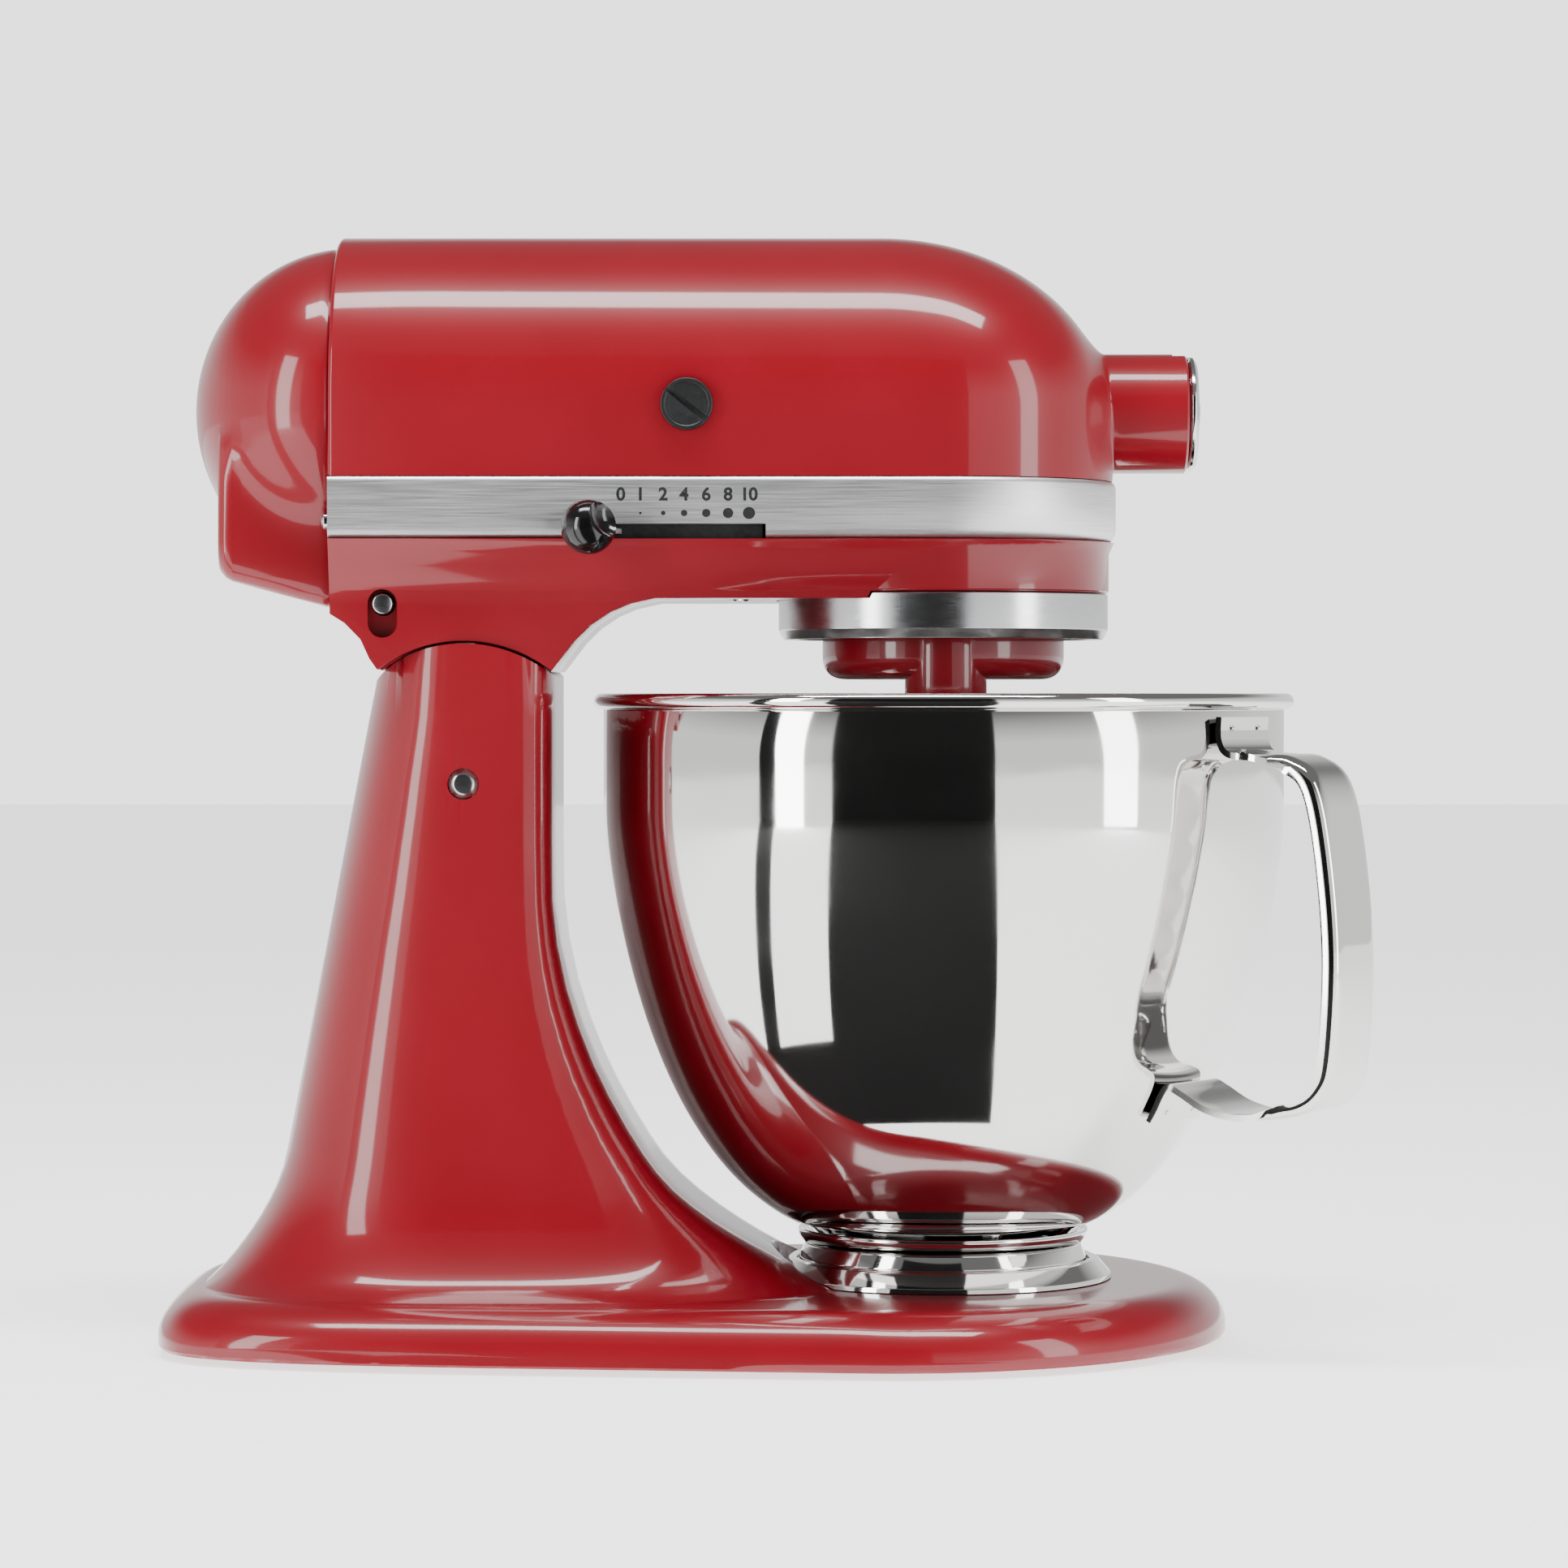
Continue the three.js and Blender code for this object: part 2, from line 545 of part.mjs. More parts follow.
// oval pocket in the side of the neck, where the end of the lock shaft shows
function lockPocket() {
  const outline = [...arc(lockX, lockZ, 4.6, 0, 180, 10), ...arc(lockX, lockZ - 6, 4.6, 180, 360, 10)];
  return sideSlab(outline, -headHalf, -neckHalf + 6);
}

const coverScrewZ = bandBottom + 4;
const trimScrewY = -(headHalf - 10.5);
const trimScrewZ = bandBottom + 5.5;
const attachmentX = 66;
const capPinX = hubFaceX - 2;
const capPinRise = 17.2;

function trimBand() {
  const bevel = 3;
  const outside = loft([
    headPlan(bandBottom, bandHalf - 1.6), headPlan(bandBottom + bevel, bandHalf), headPlan(bandTop - 1.5, bandHalf), headPlan(bandTop, bandHalf - 1),
  ]);
  const inside = loft([headPlan(bandBottom - 1, upstandHalf + gap, seamX - 1), headPlan(bandTop + 1, upstandHalf + gap, seamX - 1)]);
  return cut(outside, inside, block(slotBackX, slotFrontX, -headHalf - 5, -20, bandBottom - 1, slotTop));
}

function rearCover() {
  const dome = (inset, end) => solidOf(new THREE.SphereGeometry(1, 24, 12).rotateZ(Math.PI / 2)
    .scale(50 - inset, headHalf - 1.5 - inset, headHalf - 1.5 - inset).translate(seamX + 3.2, 0, motorZ))
    .intersect(block(-300, end, -80, 80, 0, 400));
  const box = (inset, end) => sideSlab([
    [end, underZ - 3 + inset], [-225, bandBottom - 13 + inset], [-230 + inset, bandBottom - 8 + inset], [-230 + inset, motorZ - 20], [end, motorZ - 20],
  ], -38 + inset, 38 - inset);
  const end = seamX - gap;
  return cut(
    join(dome(0, end), box(0, end)), join(dome(3, end + 1), box(3, end + 1)),
    rod('x', 2.3, -240, -220, 0, coverScrewZ, 12),
    rod('x', 4 + gap, -260, -230, 0, coverScrewZ), // seats for the heads of the two screws
    rod('x', 3 + gap, seamX - 6, seamX, trimScrewY, trimScrewZ),
    rod('y', 5.3, 30, 45, inletX, inletZ),
    rod('y', 7.5 + gap, 38, 60, inletX, inletZ), // seat for the bush's flange
  );
}

const inletX = -212;
const inletZ = bandBottom + 2;

add('gearcase', 'red', gearcase());
add('head_shell', 'red', headShell());
add('rear_cover', 'red', rearCover());
add('trim_band', 'satin', trimBand());
add('rear_cover_screw', 'steel', join(rod('x', 4, -232, -230 - gap, 0, coverScrewZ), rod('x', 2, -230 - gap, seamX + 7, 0, coverScrewZ, 12)));
add('trim_screw', 'steel', join(
  rod('x', 3, seamX - 2.1, seamX - gap, trimScrewY, trimScrewZ), rod('x', 1.5, seamX - gap, seamX + 7, trimScrewY, trimScrewZ, 12)));
add('gearcase_screw', 'iron', join(rod('z', 4, underZ + 0.2, underZ + 1.9, -65, -22), rod('z', 2, underZ + 1.9, underZ + 7, -65, -22, 12)));
add('cord_inlet_bush', 'rubber', cut(
  join(rod('y', 7.5, 38 + gap, 41, inletX, inletZ), rod('y', 5, 31, 38 + gap, inletX, inletZ)), rod('y', 3.2, 30, 42, inletX, inletZ, 16)));
add('drip_ring', 'satin', turned([
  [ringOuterR + gap, planetaryTop() - 2.9], [headHalf - 5, planetaryTop() - 2.9], [headHalf - 2.2, planetaryTop() - 1.5],
  [headHalf - 1.5, planetaryTop() + 1], [headHalf - 1.5, skirtZ - gap], [ringOuterR + gap, skirtZ - gap],
]));

function planetaryTop() {
  return planetaryBottom + 15.7;
}

// ---------------------------------------------------------------- motor
const statorR = Math.min(headHalf, crownRise) - 10.5;
const rotorR = 25.5;
const coreBack = -150;
const coreFront = -105;
const bracketHalf = headHalf - shellWall - 1.2;
const bearingR = 9;

add('field_stator', 'iron', cut(
  join(rod('x', statorR, coreBack, coreFront, 0, motorZ, 24), block(coreBack, coreFront, -bracketHalf, bracketHalf, motorZ - 8, motorZ + 8)),
  rod('x', rotorR + 0.8, coreBack - 1, coreFront + 1, 0, motorZ, 24),
));
for (const [name, x] of [['rear', -186], ['front', -72]]) {
  const plate = join(rod('x', 22, x, x + 6, 0, motorZ, 24), block(x, x + 6, -bracketHalf, bracketHalf, motorZ - 9, motorZ + 9));
  add(`motor_bracket_${name}`, 'iron', cut(plate, rod('x', bearingR + gap, x - 1, x + 7, 0, motorZ)));
  add(`motor_bearing_${name}`, 'steel', tube('x', bearingR, motorShaftR + gap, x, x + 6, 0, motorZ));
}
for (const [name, side] of [['left', -1], ['right', 1]]) {
  const span = (from, to) => (side > 0 ? [from, to] : [-to, -from]);
  const sideRod = (radius, from, to, sides = small) => rod('y', radius, ...span(from, to), brushX, motorZ, sides);
  add(`brush_holder_${name}`, 'brass', cut(sideRod(6, 16, headHalf - 2), sideRod(4.2, 15, headHalf)));
  add(`carbon_brush_${name}`, 'carbon', sideRod(3.8, 12.7, 38, 12));
  const slot = block(-20, 20, ...span(headHalf + 2.2, headHalf + 4), -0.8, 0.8).rotate([0, side * -40, 0]).translate([brushX, 0, motorZ]);
  add(`brush_cap_${name}`, 'black', cut(join(sideRod(8.1, headHalf + gap, headHalf + 3.3, 20), sideRod(3.8, 44, headHalf + 1)), slot));
}

// one-start worm thread, wound round the front of the motor shaft
function motorShaft() {
  const threadStart = wheelX - 1.5 * wormPitch; // leaves a gap of the thread facing the wheel's tooth
  const turns = 3.8;
  const rings = steps(0, turns, turns * 10).map((turn) => {
    const a = turn * 2 * Math.PI;
    const corner = (radius, shift) =>
      new THREE.Vector3(threadStart + turn * wormPitch + shift, radius * Math.cos(a), motorZ + radius * Math.sin(a));
    return [corner(wormR - 2.8, -0.85), corner(wormR, -0.4), corner(wormR, 0.4), corner(wormR - 2.8, 0.85)];
  });
  return join(
    rod('x', motorShaftR, -190, wheelX + 14, 0, motorZ),
    rod('x', wormR - 2.4, threadStart - 2, wheelX + 2.5 * wormPitch, 0, motorZ),
    loft(rings),
  );
}

add('motor_shaft', 'steel', motorShaft());
add('rotor_core', 'iron', tube('x', rotorR, motorShaftR + gap, coreBack + 1, coreFront - 1, 0, motorZ, 24));
add('commutator', 'copper', tube('x', 12.3, motorShaftR + gap, -90, -74.5, 0, motorZ, 24));
const fanHub = tube('x', 10, motorShaftR + gap, -174, -162, 0, motorZ);
const fanBlades = steps(0, 300, 5).map((a) =>
  block(-173, -163, -0.8, 0.8, 9, headHalf - 17).rotate([a, 0, 0]).translate([0, 0, motorZ]));
add('cooling_fan', 'black', join(fanHub, ...fanBlades));

// ---------------------------------------------------------------- gears
// Outline of a spur gear, with one tooth pointing at the given angle.
// The tooth's half width on the pitch circle is a share of the tooth pitch.
function gearOutline(teeth, pitchR, module, facing, half = 0.19) {
  const corners = [[-half - 0.1, -1.2], [-half + 0.08, 0.85], [half - 0.08, 0.85], [half + 0.1, -1.2]];
  return steps(0, 360, teeth).slice(0, -1).flatMap((a) => corners.map(([share, height]) => {
    const angle = degrees(facing + a + share * 360 / teeth);
    const radius = pitchR + height * module;
    return [radius * Math.cos(angle), radius * Math.sin(angle)];
  }));
}

const linkAngle = Math.atan2(wheelY, wheelX) * 180 / Math.PI;
const spurZ = underZ + 25;
const spurWidth = 8;
const centerSpurR = spurModule * centerTeeth / 2;
const bevelPitchZ = motorZ - bevelR * hubTeeth / bevelTeeth;

// A bevel wheel about +Z whose cone closes at the origin above it.
function bevelWheel(teeth, pitchR, drop, facing) {
  const module = 2 * pitchR / teeth;
  const cone = Math.hypot(pitchR, drop);
  const lift = (height) => [pitchR + height * drop / cone, -drop + height * pitchR / cone];
  const corners = [[-0.28, -1.15], [-0.1, 0.75], [0.1, 0.75], [0.28, -1.15]];
  const ring = (scale, base) => steps(0, 360, teeth).slice(0, -1).flatMap((a) => corners.map(([share, height]) => {
    const angle = degrees(facing + a + share * 360 / teeth);
    const [radius, z] = lift(height * module);
    const flat = base ? -drop - 2.4 * module : z * scale;
    const wide = base ? pitchR - 2.2 * module : radius * scale;
    return new THREE.Vector3(wide * Math.cos(angle), wide * Math.sin(angle), flat);
  }));
  return loft([ring(1, true), ring(1, false), ring(0.76, false)]);
}

const wheelGear = slab(gearOutline(wheelTeeth, wheelPitchR, wormPitch / Math.PI, -90, 0.15), motorZ - 3, motorZ + 3);
add('worm_wheel', 'brass', cut(wheelGear.translate([wheelX, wheelY, 0]), rod('z', motorShaftR + gap, motorZ - 4, motorZ + 4, wheelX, wheelY)));
const pinionGear = slab(gearOutline(pinionTeeth, spurModule * pinionTeeth / 2, spurModule, linkAngle + 180 + 180 / pinionTeeth), spurZ, spurZ + spurWidth);
add('drive_pinion', 'steel', join(
  pinionGear.translate([wheelX, wheelY, 0]),
  rod('z', motorShaftR, underZ + 6.4, motorZ + 7, wheelX, wheelY),
  rod('z', 6.5, spurZ + spurWidth - 1, motorZ - 3 - gap, wheelX, wheelY),
));
const centerSpur = slab(gearOutline(centerTeeth, centerSpurR, spurModule, linkAngle), spurZ, spurZ + spurWidth);
add('center_gear', 'steel', cut(
  join(
    centerSpur,
    rod('z', 14, skirtZ + caseFloor + 5, spurZ + 1, 0, 0, 18),
    rod('z', 18, spurZ + spurWidth - 1, bevelPitchZ - 3.8, 0, 0, 18),
    bevelWheel(bevelTeeth, bevelR, motorZ - bevelPitchZ, 0).translate([0, 0, motorZ]),
  ),
  rod('z', centerShaftR + gap, 0, 400, 0, 0, 18),
));
const hubWheel = bevelWheel(hubTeeth, motorZ - bevelPitchZ, bevelR, 180 / hubTeeth).rotate([0, -90, 0]);
add('hub_drive_gear', 'steel', cut(
  join(hubWheel.translate([0, 0, motorZ]), rod('x', 12.4, bevelR + 3, 54, 0, motorZ, 24)),
  block(36, 55, -5, 5, motorZ - 5, motorZ + 5),
));
add('hub_bushing', 'brass', tube('x', hubBoreR - gap, 12.4 + gap, 40, 52, 0, motorZ, 24));
add('center_bushing', 'brass', tube('z', 10.9 - gap, centerShaftR + gap, skirtZ + 0.4, skirtZ + caseFloor + 4, 0, 0, 18));

// ---------------------------------------------------------------- planetary drive
const beaterY = -beaterOffset;
const sleeveR = 13;
const planetZ = planetaryTop() + 1.7;
const planetWidth = skirtZ - 1.2 - planetZ;
const crossPinZ = planetaryBottom + 7;

add('ring_gear', 'iron', cut(
  rod('z', ringOuterR, planetaryTop() + 0.8, skirtZ - gap, 0, 0, round),
  slab(gearOutline(ringTeeth, ringModule * ringTeeth / 2, -ringModule, -90 + 180 / ringTeeth), planetaryTop(), skirtZ),
));
const housing = join(
  turned([
    [0, planetaryBottom], ...arc(planetaryR - 7, planetaryBottom + 7, 7, -90, 0, 3),
    [planetaryR, planetaryTop()], [0, planetaryTop()],
  ]),
  rod('z', 12.5, planetaryTop() - 1, skirtZ - gap, 0, 0, 18),
  turned([
    [0, planetaryBottom - 11], [sleeveR, planetaryBottom - 11], [sleeveR, planetaryBottom - 4],
    [sleeveR + 1.2, planetaryBottom - 1.2], [sleeveR + 4, planetaryBottom], [sleeveR + 4, planetaryBottom + 1], [0, planetaryBottom + 1],
  ], 0, beaterY, 18),
);
add('planetary_housing', 'red', cut(
  housing,
  rod('z', centerShaftR + gap, 0, 400, 0, 0, 18),
  rod('z', beaterShaftR + gap, 0, 400, 0, beaterY),
  rod('x', 1.8, -planetaryR - 1, planetaryR + 1, 0, crossPinZ, 12),
));
add('center_shaft', 'steel', cut(
  rod('z', centerShaftR, planetaryBottom + 1, bevelPitchZ + 2, 0, 0, 18), rod('x', 1.8, -20, 20, 0, crossPinZ, 12)));
add('planetary_pin', 'steel', rod('x', 1.5, -planetaryR + 2, planetaryR - 2, 0, crossPinZ, 12));

const planetGear = slab(gearOutline(planetTeeth, ringModule * planetTeeth / 2, ringModule, -90), planetZ, planetZ + planetWidth);
add('planet_pinion', 'steel', cut(planetGear.translate([0, beaterY, 0]), rod('z', beaterShaftR + gap, 0, 400, 0, beaterY)));
const beaterPinZ = planetaryBottom - 30;
const beaterTop = planetaryBottom - 22;
add('beater_shaft', 'steel', cut(
  rod('z', beaterShaftR, planetaryBottom - 48, skirtZ - 0.8, 0, beaterY), rod('x', 1.8, -20, 20, beaterY, beaterPinZ, 12)));
add('beater_pin', 'steel', rod('x', 1.5, -11.4, 11.4, beaterY, beaterPinZ, 12));

// Flat beater: a leaf-shaped frame with a spine and ribs, hung from a slotted hub.
function flatBeater() {
  const low = 44;
  const leaf = (inset) => new THREE.CatmullRomCurve3([
    [7 - inset / 3, planetaryBottom - 48], [30 - inset, 146], [46 - inset, 118], [48 - inset, 96],
    [40 - inset, 72 + inset / 2], [24 - inset, 52 + inset], [8 - inset / 3, low + inset],
  ].map(([x, z]) => new THREE.Vector3(x, 0, z)), false, 'centripetal').getPoints(12).map((p) => [p.x, p.z]);
  const mirrored = (half) => [...half, ...half.map(([x, z]) => [-x, z]).reverse()];
  const frame = sideSlab(mirrored(leaf(0)), -4, 4).subtract(sideSlab(mirrored(leaf(8)), -5, 5));
  const spine = block(-4, 4, -3.4, 3.4, low + 2, planetaryBottom - 46);
  const rib = sideSlab([[-43, 112], [-43, 105], [0, 88], [43, 105], [43, 112], [0, 95]], -3.2, 3.2);
  const hub = rod('z', 10, planetaryBottom - 52, beaterTop, 0, 0, 18);
  return cut(
    join(frame, spine, rib, hub),
    rod('z', beaterShaftR + gap, planetaryBottom - 49, beaterTop + 1),
    block(-12, 12, -2, 2, beaterPinZ - 2, beaterTop + 1),
  ).translate([0, beaterY, 0]);
}

add('flat_beater', 'enamel', flatBeater());

// ---------------------------------------------------------------- controls
const leverZ = bandBottom + 2.1;
const leverLength = headHalf + 7.5;
const leverRest = -110.9;
const lever = placed(
  cut(
    join(rod('z', 7, leverZ - 0.8, leverZ + 0.8), block(0, leverLength, -4, 4, leverZ - 0.8, leverZ + 0.8)),
    rod('z', 3 + gap, leverZ - 2, leverZ + 2, 0, 0, 16),
  ),
  leverRest, leverX, 0,
);
const knobReach = leverLength + 7.5;
const knobBall = solidOf(new THREE.SphereGeometry(8.6, 16, 10)).translate([knobReach, 0, leverZ + 0.9]);
const scoop = solidOf(new THREE.SphereGeometry(9, 14, 8)).translate([knobReach + 1, 13.5, leverZ + 3]);
const leverSocket = block(0, leverLength + gap, -4 - gap, 4 + gap, leverZ - 0.8 - gap, leverZ + 0.8 + gap);
add('speed_lever', 'steel', lever);
add('speed_knob', 'black', placed(cut(knobBall, scoop, leverSocket), leverRest, leverX, 0));
add('speed_control_board', 'board', block(-104, -70, -26, 26, leverZ + 6, leverZ + 8));

const lockEnd = neckHalf + 7;
const cam = sideSlab(camShape(camRest, 0), camY - camHalf, camY + camHalf);
add('lock_shaft', 'steel', join(rod('y', lockShaftR, -neckHalf + 1.5, lockEnd, lockX, lockZ, 16), cam));
const armTurn = degrees(-50);
const armTip = [lockX + 30 * Math.cos(armTurn), lockZ + 30 * Math.sin(armTurn)];
const armSide = [4 * Math.sin(armTurn), -4 * Math.cos(armTurn)];
const armOutline = [
  [lockX + armSide[0], lockZ + armSide[1]], [armTip[0] + armSide[0], armTip[1] + armSide[1]],
  [armTip[0] - armSide[0], armTip[1] - armSide[1]], [lockX - armSide[0], lockZ - armSide[1]],
];
add('lock_lever', 'black', cut(
  join(rod('y', 8, lockEnd - 3, lockEnd + 4, lockX, lockZ), sideSlab(armOutline, lockEnd - 1, lockEnd + 4),
    rod('y', 6.5, lockEnd - 1, lockEnd + 8, ...armTip)),
  rod('y', lockShaftR + gap, lockEnd - 5, lockEnd + gap, lockX, lockZ, 16),
));

add('attachment_knob', 'black', join(
  turned([[0, 0], [7, 0], [10.5, 2], [10.5, 10], [8, 12.5], [0, 12.5]], 0, 0, 18).rotate([-90, 0, 0]).translate([attachmentX, hubR + gap, motorZ]),
  rod('y', 3, hubBoreR - 2.4, hubR + 2, attachmentX, motorZ, 12),
));
const capDisc = turned([[0, 0], [18.2, 0], [18.2, 1.8], [16, 3], [3, 3.8], [0, 4.6]], 0, 0, 32)
  .rotate([0, 90, 0]).translate([hubFaceX + gap, 0, motorZ]);
const capEar = block(capPinX - 1.8, hubFaceX + 1, -3.6, 3.6, motorZ + capPinRise - 1.8, motorZ + capPinRise + 1.8);
add('hub_cap', 'polished', cut(
  join(capDisc, capEar.subtract(block(0, 200, -4, 4, motorZ + 18.2, motorZ + 30))),
  rod('y', 1.1, -8, 8, capPinX, motorZ + capPinRise, 10)));
add('hub_cap_pin', 'steel', rod('y', 0.8, -7, 7, capPinX, motorZ + capPinRise, 10));

export default mixer;
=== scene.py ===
"""Looks of the tilt-head stand mixer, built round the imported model.

Profiles are in millimetres and become metres in the mesh. +X points to the attachment hub,
-Y to the side with the speed lever, and +Z up; the bowl's axis is the Z axis.
"""
import json
import math

import bmesh
import bpy
from mathutils import Matrix, Vector


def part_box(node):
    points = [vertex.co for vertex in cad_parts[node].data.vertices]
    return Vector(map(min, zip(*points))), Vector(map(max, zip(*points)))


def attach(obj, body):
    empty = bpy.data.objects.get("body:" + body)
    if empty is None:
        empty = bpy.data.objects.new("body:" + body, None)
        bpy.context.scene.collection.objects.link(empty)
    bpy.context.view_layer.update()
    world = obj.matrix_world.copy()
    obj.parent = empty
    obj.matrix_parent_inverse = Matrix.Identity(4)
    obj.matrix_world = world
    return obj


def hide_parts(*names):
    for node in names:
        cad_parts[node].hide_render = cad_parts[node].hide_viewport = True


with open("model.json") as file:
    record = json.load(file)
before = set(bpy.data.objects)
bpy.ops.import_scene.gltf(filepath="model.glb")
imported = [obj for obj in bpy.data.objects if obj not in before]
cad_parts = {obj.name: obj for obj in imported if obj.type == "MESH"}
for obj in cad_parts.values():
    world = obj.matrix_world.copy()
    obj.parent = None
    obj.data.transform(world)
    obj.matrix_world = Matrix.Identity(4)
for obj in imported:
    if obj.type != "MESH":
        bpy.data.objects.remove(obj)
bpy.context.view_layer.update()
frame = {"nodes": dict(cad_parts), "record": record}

MM = 0.001

# ------------------------------------------------------------------ places, from the frame


def low(node, axis):
    """A node's lowest coordinate along an axis, in millimetres."""
    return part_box(node)[0]["xyz".index(axis)] / MM


def high(node, axis):
    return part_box(node)[1]["xyz".index(axis)] / MM


def centre(node):
    return [(low(node, axis) + high(node, axis)) / 2 for axis in "xyz"]


SEAM_X = low("head_shell", "x")
HUB_FACE = high("head_shell", "x")
HEAD_HALF = high("head_shell", "y")
HEAD_TOP = high("head_shell", "z")
SHELL_FOOT = low("head_shell", "z")
MOTOR_Z = centre("brush_cap_left")[2]
CROWN = HEAD_TOP - MOTOR_Z
HUB_R = 19.2
HUB_BORE = 16
NOSE_BACK = -20
NOSE_REACH = 73
BAND_LOW = low("trim_band", "z")
BAND_HIGH = high("trim_band", "z")
BAND_HALF = high("trim_band", "y")
SKIRT_Z = high("drip_ring", "z") + 0.3
UNDER_Z = BAND_LOW - 18.7
PIN_X, _, PIN_Z = centre("hinge_pin")
LOCK_X, LOCK_Z = -177, PIN_Z + 56.4  # shaft of the head lock
SLOT_BACK, SLOT_FRONT = -116, -57  # ends of the speed lever's slot
DECK_Z = low("bowl_clamp_plate", "z") - 0.3
PLANET_FLOOR = SKIRT_Z - 27.6
BEATER_Y = -27.625
BOWL_R = 109.4
BOWL_WALL = 1.5
BOWL_SHOULDER = 170  # the wall is straight above this height
BOWL_DEPTH = 140  # from the shoulder down to where the curve would close
HANDLE_ANGLE = -35
BOWL_TOP = high("bowl", "z")

# ------------------------------------------------------------------ small tools


def deselect():
    for item in bpy.context.selected_objects:
        item.select_set(False)


def activate(piece):
    deselect()
    piece.select_set(True)
    bpy.context.view_layer.objects.active = piece


def in_edit(piece):
    activate(piece)
    bpy.ops.object.mode_set(mode="EDIT")


def out_edit():
    bpy.ops.object.mode_set(mode="OBJECT")


def settle(piece):
    """Puts the piece's place into its mesh, so that its object sits at the origin."""
    activate(piece)
    bpy.ops.object.transform_apply(location=True, rotation=True, scale=True)


def smooth(piece, angle=35):
    activate(piece)
    bpy.ops.object.shade_smooth_by_angle(angle=math.radians(angle))


def modify(piece, kind, **settings):
    """Adds a modifier with its settings and applies it."""
    activate(piece)
    change = piece.modifiers.new(kind.lower(), kind)
    for key, value in settings.items():
        setattr(change, key, value)
    bpy.ops.object.modifier_apply(modifier=change.name)


def carve(piece, *tools, operation="DIFFERENCE"):
    for tool in tools:
        modify(piece, "BOOLEAN", object=tool, operation=operation, solver="EXACT")
        bpy.data.objects.remove(tool)


def soften(piece, width, segments=2, angle=35):
    """Breaks the sharp edges by a width in millimetres."""
    modify(piece, "BEVEL", width=width * MM, segments=segments, limit_method="ANGLE",
           angle_limit=math.radians(angle), use_clamp_overlap=True, harden_normals=False)


def finish_piece(piece, name, body, look, *nodes, slot=None, angle=35):
    """Names a finished piece, gives it its material and fixes it to its body."""
    piece.name = name
    piece.data.materials.clear()
    piece.data.materials.append(look)
    if angle:
        smooth(piece, angle)
    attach(piece, body)
    if nodes:
        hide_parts(*nodes)
    return piece


def turned(profile, closed=False, steps=96):
    """Profile points of (radius, height), spun a full turn about the Z axis."""
    bpy.ops.mesh.primitive_plane_add(size=MM)
    piece = bpy.context.object
    in_edit(piece)
    bpy.ops.mesh.select_all(action="SELECT")
    bpy.ops.mesh.merge(type="CENTER")
    points = [Vector((r, 0, z)) * MM for r, z in profile]
    bpy.ops.transform.translate(value=points[0])
    for before, after in zip(points, points[1:] + points[:1] * closed):
        bpy.ops.mesh.extrude_region_move(TRANSFORM_OT_translate={"value": after - before})
    bpy.ops.mesh.select_all(action="SELECT")
    bpy.ops.mesh.spin(steps=steps, angle=2 * math.pi, center=(0, 0, 0), axis=(0, 0, 1))
    bpy.ops.mesh.select_all(action="SELECT")
    bpy.ops.mesh.remove_doubles(threshold=1e-6)
    bpy.ops.mesh.normals_make_consistent(inside=False)
    out_edit()
    return piece


def rounded(corners, parts=5):
    """Corner points of (radius, height, fillet), with each fillet drawn as a short arc."""
    path = []
    for i, (x, z, fillet) in enumerate(corners):
        here = Vector((x, z))
        if not fillet or i in (0, len(corners) - 1):
            path.append((x, z))
            continue
        back = Vector(corners[i - 1][:2]) - here
        ahead = Vector(corners[i + 1][:2]) - here
        turn = back.angle(ahead)
        cut = min(fillet / math.tan(turn / 2), back.length * 0.49, ahead.length * 0.49)
        start, end = here + back.normalized() * cut, here + ahead.normalized() * cut
        for k in range(parts + 1):
            t = k / parts
            point = start * (1 - t) ** 2 + here * 2 * t * (1 - t) + end * t ** 2
            path.append((point.x, point.y))
    return path


def shift(piece, x=0, y=0, z=0):
    piece.data.transform(Matrix.Translation(Vector((x, y, z)) * MM))
    return piece


def turn(piece, axis, angle):
    piece.data.transform(Matrix.Rotation(math.radians(angle), 4, axis))
    return piece


def rod(axis, radius, start, end, u=0, v=0, sides=48):
    """A cylinder along an axis; u and v place it across, in the order of the other two axes."""
    bpy.ops.mesh.primitive_cylinder_add(vertices=sides, radius=radius * MM, depth=(end - start) * MM)
    piece = bpy.context.object
    middle = (start + end) / 2
    if axis == "x":
        return shift(turn(piece, "Y", 90), middle, u, v)
    if axis == "y":
        return shift(turn(piece, "X", 90), u, middle, v)
    return shift(piece, u, v, middle)


def block(x, y, z, edge=0, segments=3):
    """A box between pairs of limits, with its edges rounded."""
    bpy.ops.mesh.primitive_cube_add(size=1)
    piece = bpy.context.object
    piece.scale = Vector((x[1] - x[0], y[1] - y[0], z[1] - z[0])) * MM
    piece.location = Vector((sum(x), sum(y), sum(z))) * MM / 2
    settle(piece)
    if edge:
        in_edit(piece)
        bpy.ops.mesh.select_all(action="SELECT")
        bpy.ops.mesh.bevel(offset=edge * MM, segments=segments, affect="EDGES")
        out_edit()
    return piece


def skin(rings):
    """A closed shell over rings of equally many points, in millimetres."""
    mesh = bpy.data.meshes.new("skin")
    shape = bmesh.new()
    rows = [[shape.verts.new(Vector(p) * MM) for p in ring] for ring in rings]
    for one, two in zip(rows, rows[1:]):
        for i in range(len(one)):
            j = (i + 1) % len(one)
            shape.faces.new((one[i], one[j], two[j], two[i]))
    shape.faces.new(rows[0])
    shape.faces.new(rows[-1])
    bmesh.ops.recalc_face_normals(shape, faces=shape.faces[:])
    shape.to_mesh(mesh)
    shape.free()
    piece = bpy.data.objects.new("skin", mesh)
    bpy.context.scene.collection.objects.link(piece)
    return piece


